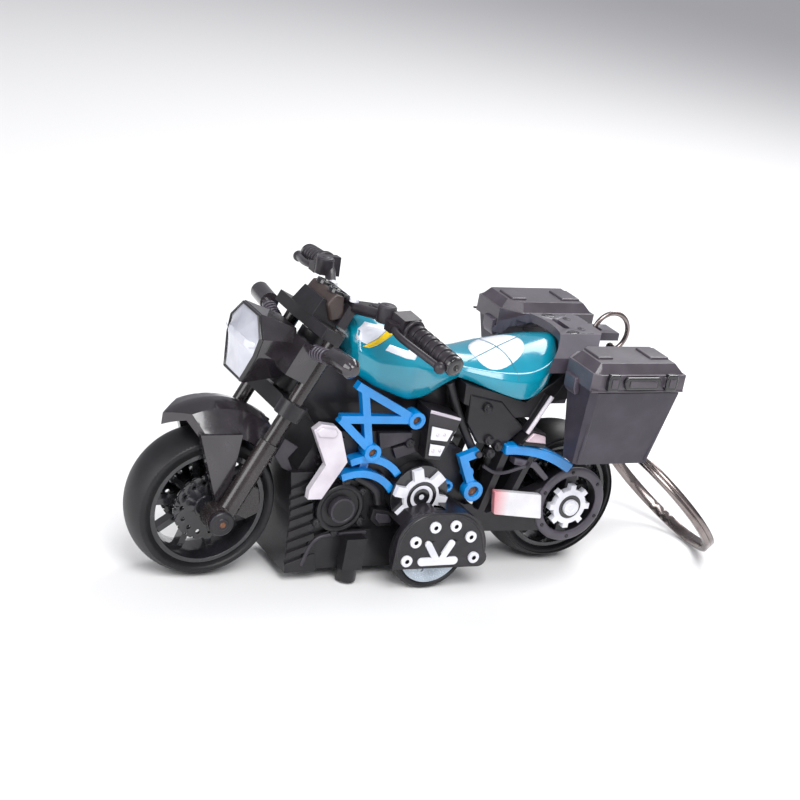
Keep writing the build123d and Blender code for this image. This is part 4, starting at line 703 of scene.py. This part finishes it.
sprocket_place = (-22.8, 0, 13.2)
guard_x, guard_z, guard_bolt_circle = -23.4, 13.2, 6.5
for side_name, way in sides:
    slab(f"blue_rail_{side_name}", band((-6.6, 24.7), (-14.8, 25.0), (-21.4, 20.6), 1.95),
         6.6 * way, 8.95 * way, blue_lacquer, edge=0.35)
    turned(f"guard_ring_{side_name}", [(5.55, 7.8), (5.6, 8.1), (6.1, 8.3), (6.9, 8.3), (7.35, 8.1),
                                       (7.42, 7.8)], (guard_x, 0, guard_z), rack_grey,
           axis=(0, way, 0), steps=64)
    turned(f"sprocket_well_{side_name}", [(1.55, 9.15), (1.55, 9.28), (2.3, 9.28), (2.3, 9.15)],
           sprocket_place, gloss_black,
           axis=(0, way, 0), steps=40, edge=0.02)
    turned(f"axle_nut_{side_name}", [(0, 9.85), (0.5, 9.85), (0.7, 10.05), (1.25, 10.05),
                                     (1.45, 9.8), (0, 9.8)], sprocket_place,
           white_lacquer, axis=(0, way, 0), steps=6, edge=0.05)
    for number in range(6):
        angle = tau * number / 6 + 0.4
        turned(f"guard_bolt_{side_name}_{number}", [(0, 8.5), (0.3, 8.5), (0.42, 8.2), (0, 8.2)],
               (guard_x + guard_bolt_circle * cos(angle), 0,
                guard_z + guard_bolt_circle * sin(angle)), engine_black, axis=(0, way, 0), steps=12,
               edge=0)
    rod(f"brake_line_{side_name}", [(-2.8, 8.4 * way, 21.6), (-6.0, 8.7 * way, 19.8),
                                    (-11.6, 8.6 * way, 21.4)], 0.32, engine_grey)
    slab(f"hugger_{side_name}", [(-9.6, 22.8), (-14.4, 21.8), (-17.8, 18.6), (-17.0, 17.9),
                                 (-13.8, 20.6), (-9.6, 21.4)],
         6.0 * way, 7.9 * way, rack_grey, edge=0.2)

# ---------------------------------------------------------------- wheels
# Soft black tyres stretched over gloss black rims. The chassis carries the rear
# axle and the fork carries the front one.
rim_black = plastic("rim_black", "rim", (0.010, 0.010, 0.012), (0.030, 0.030, 0.036), 0.20,
                    coat=0.5)
dress("front_rim rear_rim", rim_black, 0.1)
dress("front_tyre rear_tyre", rubber, 0)
axle_black = plastic("axle_black", "black", (0.012, 0.011, 0.014), (0.030, 0.028, 0.034), 0.26,
                     coat=0.3)
dress("front_axle", axle_black, 0.1)
wheel_height = 13.2
front_wheel_x, rear_wheel_x = 47.2, -22.8
wheel_spots = (("front", "front_wheel", front_wheel_x, 3.95),
               ("rear", "rear_wheel", rear_wheel_x, 5.2))
for wheel_name, body, wheel_x, half_wide in wheel_spots:
    for side_name, way in sides:
        turned(f"{wheel_name}_wall_ring_{side_name}", [(11.35, half_wide - 0.35), (11.4, half_wide),
                                                       (11.5, half_wide + 0.08),
                                                       (11.6, half_wide),
                                                       (11.65, half_wide - 0.35)],
               (wheel_x, 0, wheel_height), rubber, body, axis=(0, way, 0), steps=72, edge=0)

# ---------------------------------------------------------------- fork and mudguard
# Black fork legs in brown-black clamps. The gloss black mudguard clips between the
# legs and turns with them.
fork_black = plastic("fork_black", "black", (0.012, 0.009, 0.009), (0.026, 0.020, 0.021), 0.26,
                     coat=0.35)
guard_black = plastic("guard_black", "black", (0.016, 0.013, 0.016), (0.032, 0.027, 0.033), 0.18,
                      coat=0.7)
dress(both("fork_leg"), fork_black, 0.12)
dress("lower_clamp top_clamp", engine_black, 0.25)
dress("front_mudguard", guard_black, 0.15)
for side_name, way in sides:
    turned(f"axle_cap_{side_name}", [(0, 10.75), (1.0, 10.75), (1.15, 10.6), (1.9, 10.6),
                                     (2.15, 10.4), (2.2, 9.9), (0, 9.9)],
           (front_wheel_x, 0, wheel_height),
           engine_black, "fork", axis=(0, way, 0), steps=36, edge=0.08)
    turned(f"axle_screw_{side_name}", [(0, 10.95), (0.45, 10.95), (0.6, 10.7), (0, 10.7)],
           (front_wheel_x, 0, wheel_height), copper_screw, "fork",
           axis=(0, way, 0), steps=6, edge=0.03)

# ---------------------------------------------------------------- headlight
# Gloss black faceted shell with a folded silver lens in a thin black surround, and
# one turn signal on a ribbed stalk each side. All of it turns with the fork.
dress("headlight_housing", guard_black, 0.35)
lens_silver = plastic("lens_silver", "lens", (0.60, 0.61, 0.68), (0.48, 0.49, 0.56), 0.12,
                      grain=0.2, relief=0.002, coat=0.8, metallic=0.35)
dress("headlight_lens", lens_silver, 0.15)
lamp_lean = radians(8)
lamp_x, lamp_z = 43.6, 42.0
lamp_corners = [(3.2, 5.4), (5.9, 2.4), (5.5, -0.6), (3.2, -5.6), (-3.2, -5.6), (-5.5, -0.6),
                (-5.9, 2.4), (-3.2, 5.4)]


def on_lamp(across, up, out):
    """A place on the leaning face of the lamp."""
    return (lamp_x + out * cos(lamp_lean) - up * sin(lamp_lean), across,
            lamp_z + up * cos(lamp_lean) + out * sin(lamp_lean))


bezel_rows = [(1.00, -0.2), (1.01, 0.55), (1.04, 0.70), (1.09, 0.45), (1.10, -0.2)]
bezel_points = [on_lamp(a * grow, b * grow, out) for grow, out in bezel_rows for a,
                b in lamp_corners]
bezel_faces = []
for row in range(len(bezel_rows)):
    for step in range(len(lamp_corners)):
        low = row * len(lamp_corners)
        high = (row + 1) % len(bezel_rows) * len(lamp_corners)
        after = (step + 1) % len(lamp_corners)
        bezel_faces.append((low + step, low + after, high + after, high + step))
build("headlight_bezel", bezel_points, bezel_faces, gloss_black, "fork", edge=0.1)
fold_half, fold_end_up, fold_sag, fold_out = 6.0, 0.9, 1.5, 1.02
fold_shares = [step / 6 - 1 for step in range(13)]
fold = [on_lamp(fold_half * share, fold_end_up - fold_sag * (1 - share ** 2), fold_out)
        for share in fold_shares]
rod("lens_fold", fold, 0.10, lens_silver, "fork", rounds=1, sides_round=8)
for side_name, way in sides:
    stalk = Vector((-0.1, way, 0.16)).normalized()
    stalk_root = Vector((34.6, 7.0 * way, 43.0))
    for number in range(5):
        place = stalk_root + stalk * (1.4 + 0.85 * number)
        turned(f"stalk_rib_{side_name}_{number}", [(0.9, 0.22), (1.22, 0.18), (1.3, 0),
                                                   (1.22, -0.18), (0.9, -0.22)], place, rack_grey,
               "fork",
               axis=stalk, steps=28, edge=0)

# ---------------------------------------------------------------- handlebar and instruments
# Black moulded bar with rubbery grips, levers and pots, and a brown-black
# instrument block ahead of the top clamp.
grip_black = plastic("grip_black", "black", (0.016, 0.013, 0.017), (0.036, 0.031, 0.038), 0.36,
                     relief=0.008, shine=0.4)
dress("handlebar", grip_black, 0.15)
brown_black = plastic("brown_black", "black", (0.040, 0.028, 0.026), (0.062, 0.044, 0.040), 0.38)
slab("instrument_block", [(30.6, 47.0), (31.6, 50.2), (30.4, 52.0), (28.6, 51.6), (28.0, 47.6)],
     -4.6, 4.6, brown_black, "fork", edge=0.5)
for number, side in enumerate((-2.3, 2.3)):
    turned(f"dial_{number}", [(0, 0.1), (1.35, 0.1), (1.45, 0.35), (1.75, 0.35), (1.8, -0.4),
                              (0, -0.4)], (28.9, side, 51.7), gloss_black, "fork",
           axis=(-0.35, 0, 1), steps=32, edge=0.04)
for side_name, way in sides:
    grip_axis = Vector((-3.0, 14.5 * way, -2.4)).normalized()
    bar_end = Vector((19.6, 28.5 * way, 48.4))
    turned(f"grip_end_{side_name}", [(0, 0.0), (0.55, 0.0), (0.6, 0.1), (1.1, 0.1), (1.62, -0.1),
                                     (1.75, -0.5), (1.5, -0.7), (0, -0.7)],
           bar_end, gloss_black, "fork", axis=grip_axis, steps=32, edge=0.03)
    lever_tip = Vector((22.0, 27.6 * way, 48.0))
    rod(f"lever_{side_name}", [(24.4, 14.6 * way, 50.4), (25.4, 18.0 * way, 49.9),
                               (23.6, 23.6 * way, 48.9), lever_tip], 0.62, grip_black, "fork")
    turned(f"lever_ball_{side_name}", [(0, -1.05), (0.6, -0.86), (1.0, -0.3), (1.0, 0.3),
                                       (0.6, 0.86), (0, 1.05)], lever_tip, grip_black,
           "fork", axis=(0, 1, 0), steps=20, edge=0)
    turned(f"grip_flange_{side_name}", [(1.3, -11.9), (2.05, -11.8), (2.15, -11.5), (2.05, -11.2),
                                        (1.3, -11.1)], bar_end, grip_black, "fork",
           axis=grip_axis, steps=36, edge=0)
    turned(f"pot_lid_{side_name}", [(0, 1.75), (0.5, 1.75), (0.6, 1.65), (1.25, 1.65), (1.45, 1.5),
                                    (1.5, 1.2), (0, 1.2)],
           (24.6, 12.2 * way, 51.4), engine_grey, "fork", axis=(0, 0, 1), steps=28, edge=0.05)
    turned(f"clamp_bolt_{side_name}", [(0, 0.5), (0.35, 0.5), (0.5, 0.3), (0.8, 0.3), (0.85, -0.3),
                                       (0, -0.3)], (26.6, 4.2 * way, 51.0),
           white_lacquer, "fork", axis=(0, 0, 1), steps=20, edge=0.03)

# ---------------------------------------------------------------- key chain
# Four bent nickel-plated wire links on a jump ring, and a flat-wound split ring.
# Each one swings in the next.
nickel = plastic("nickel", "chain", (0.30, 0.26, 0.25), (0.17, 0.14, 0.135), 0.24, grain=1.2,
                 relief=0.006, metallic=1.0)
for node_name in ["jump_ring", "split_ring"] + [f"chain_link_{number}" for number in range(1, 5)]:
    dress(node_name, nickel, 0)

# ---------------------------------------------------------------- table, light and camera
# Plain pale floor under soft studio lights; the camera stands above the front left
# of the motorcycle.
table_mesh = bpy.data.meshes.new("table")
reach = 3
table_mesh.from_pydata([(-reach, -reach, 0), (reach, -reach, 0), (reach, reach, 0),
                        (-reach, reach, 0)], [], [(0, 1, 2, 3)])
table = bpy.data.objects.new("table", table_mesh)
bpy.context.scene.collection.objects.link(table)
table_look = bpy.data.materials.new("table_pale")
table_look.use_nodes = True
table_surface = table_look.node_tree.nodes["Principled BSDF"]
table_surface.inputs["Base Color"].default_value = (0.80, 0.80, 0.80, 1)
table_surface.inputs["Roughness"].default_value = 0.6
table_mesh.materials.append(table_look)

room = bpy.data.worlds.new("studio")
room.use_nodes = True
room.node_tree.nodes["Background"].inputs["Color"].default_value = (0.93, 0.93, 1.0, 1)
room.node_tree.nodes["Background"].inputs["Strength"].default_value = 0.40
bpy.context.scene.world = room


def soft_light(name, place, width, power):
    """Large square lamp aimed at the middle of the motorcycle."""
    lamp = bpy.data.lights.new(name, "AREA")
    lamp.size = width
    lamp.energy = power
    item = bpy.data.objects.new(name, lamp)
    item.location = place
    item.rotation_euler = (Vector((0, 0, 0.02)) - Vector(place)).to_track_quat("-Z", "Y").to_euler()
    bpy.context.scene.collection.objects.link(item)


soft_light("key_light", (0.10, 0.35, 0.45), 0.35, 3.4)
soft_light("nose_light", (0.55, 0.10, 0.25), 0.35, 1.6)
soft_light("back_light", (-0.30, -0.20, 0.40), 0.30, 2.0)

camera = bpy.data.objects.new("camera", bpy.data.cameras.new("camera"))
camera.data.lens = 90
camera.data.sensor_width = 36
camera.data.clip_start = 0.01
bpy.context.scene.collection.objects.link(camera)
right = Vector((-0.876, 0.4488, 0.1769)).normalized()
back = Vector((0.4823, 0.808, 0.3384)).normalized()
up = back.cross(right).normalized()
turn = Matrix((right, up, back)).transposed().to_4x4()
camera_place = (0.1816, 0.2847, 0.1502)
camera.matrix_world = Matrix.Translation(camera_place) @ turn
bpy.context.scene.camera = camera
bpy.context.scene.view_settings.view_transform = "Standard"
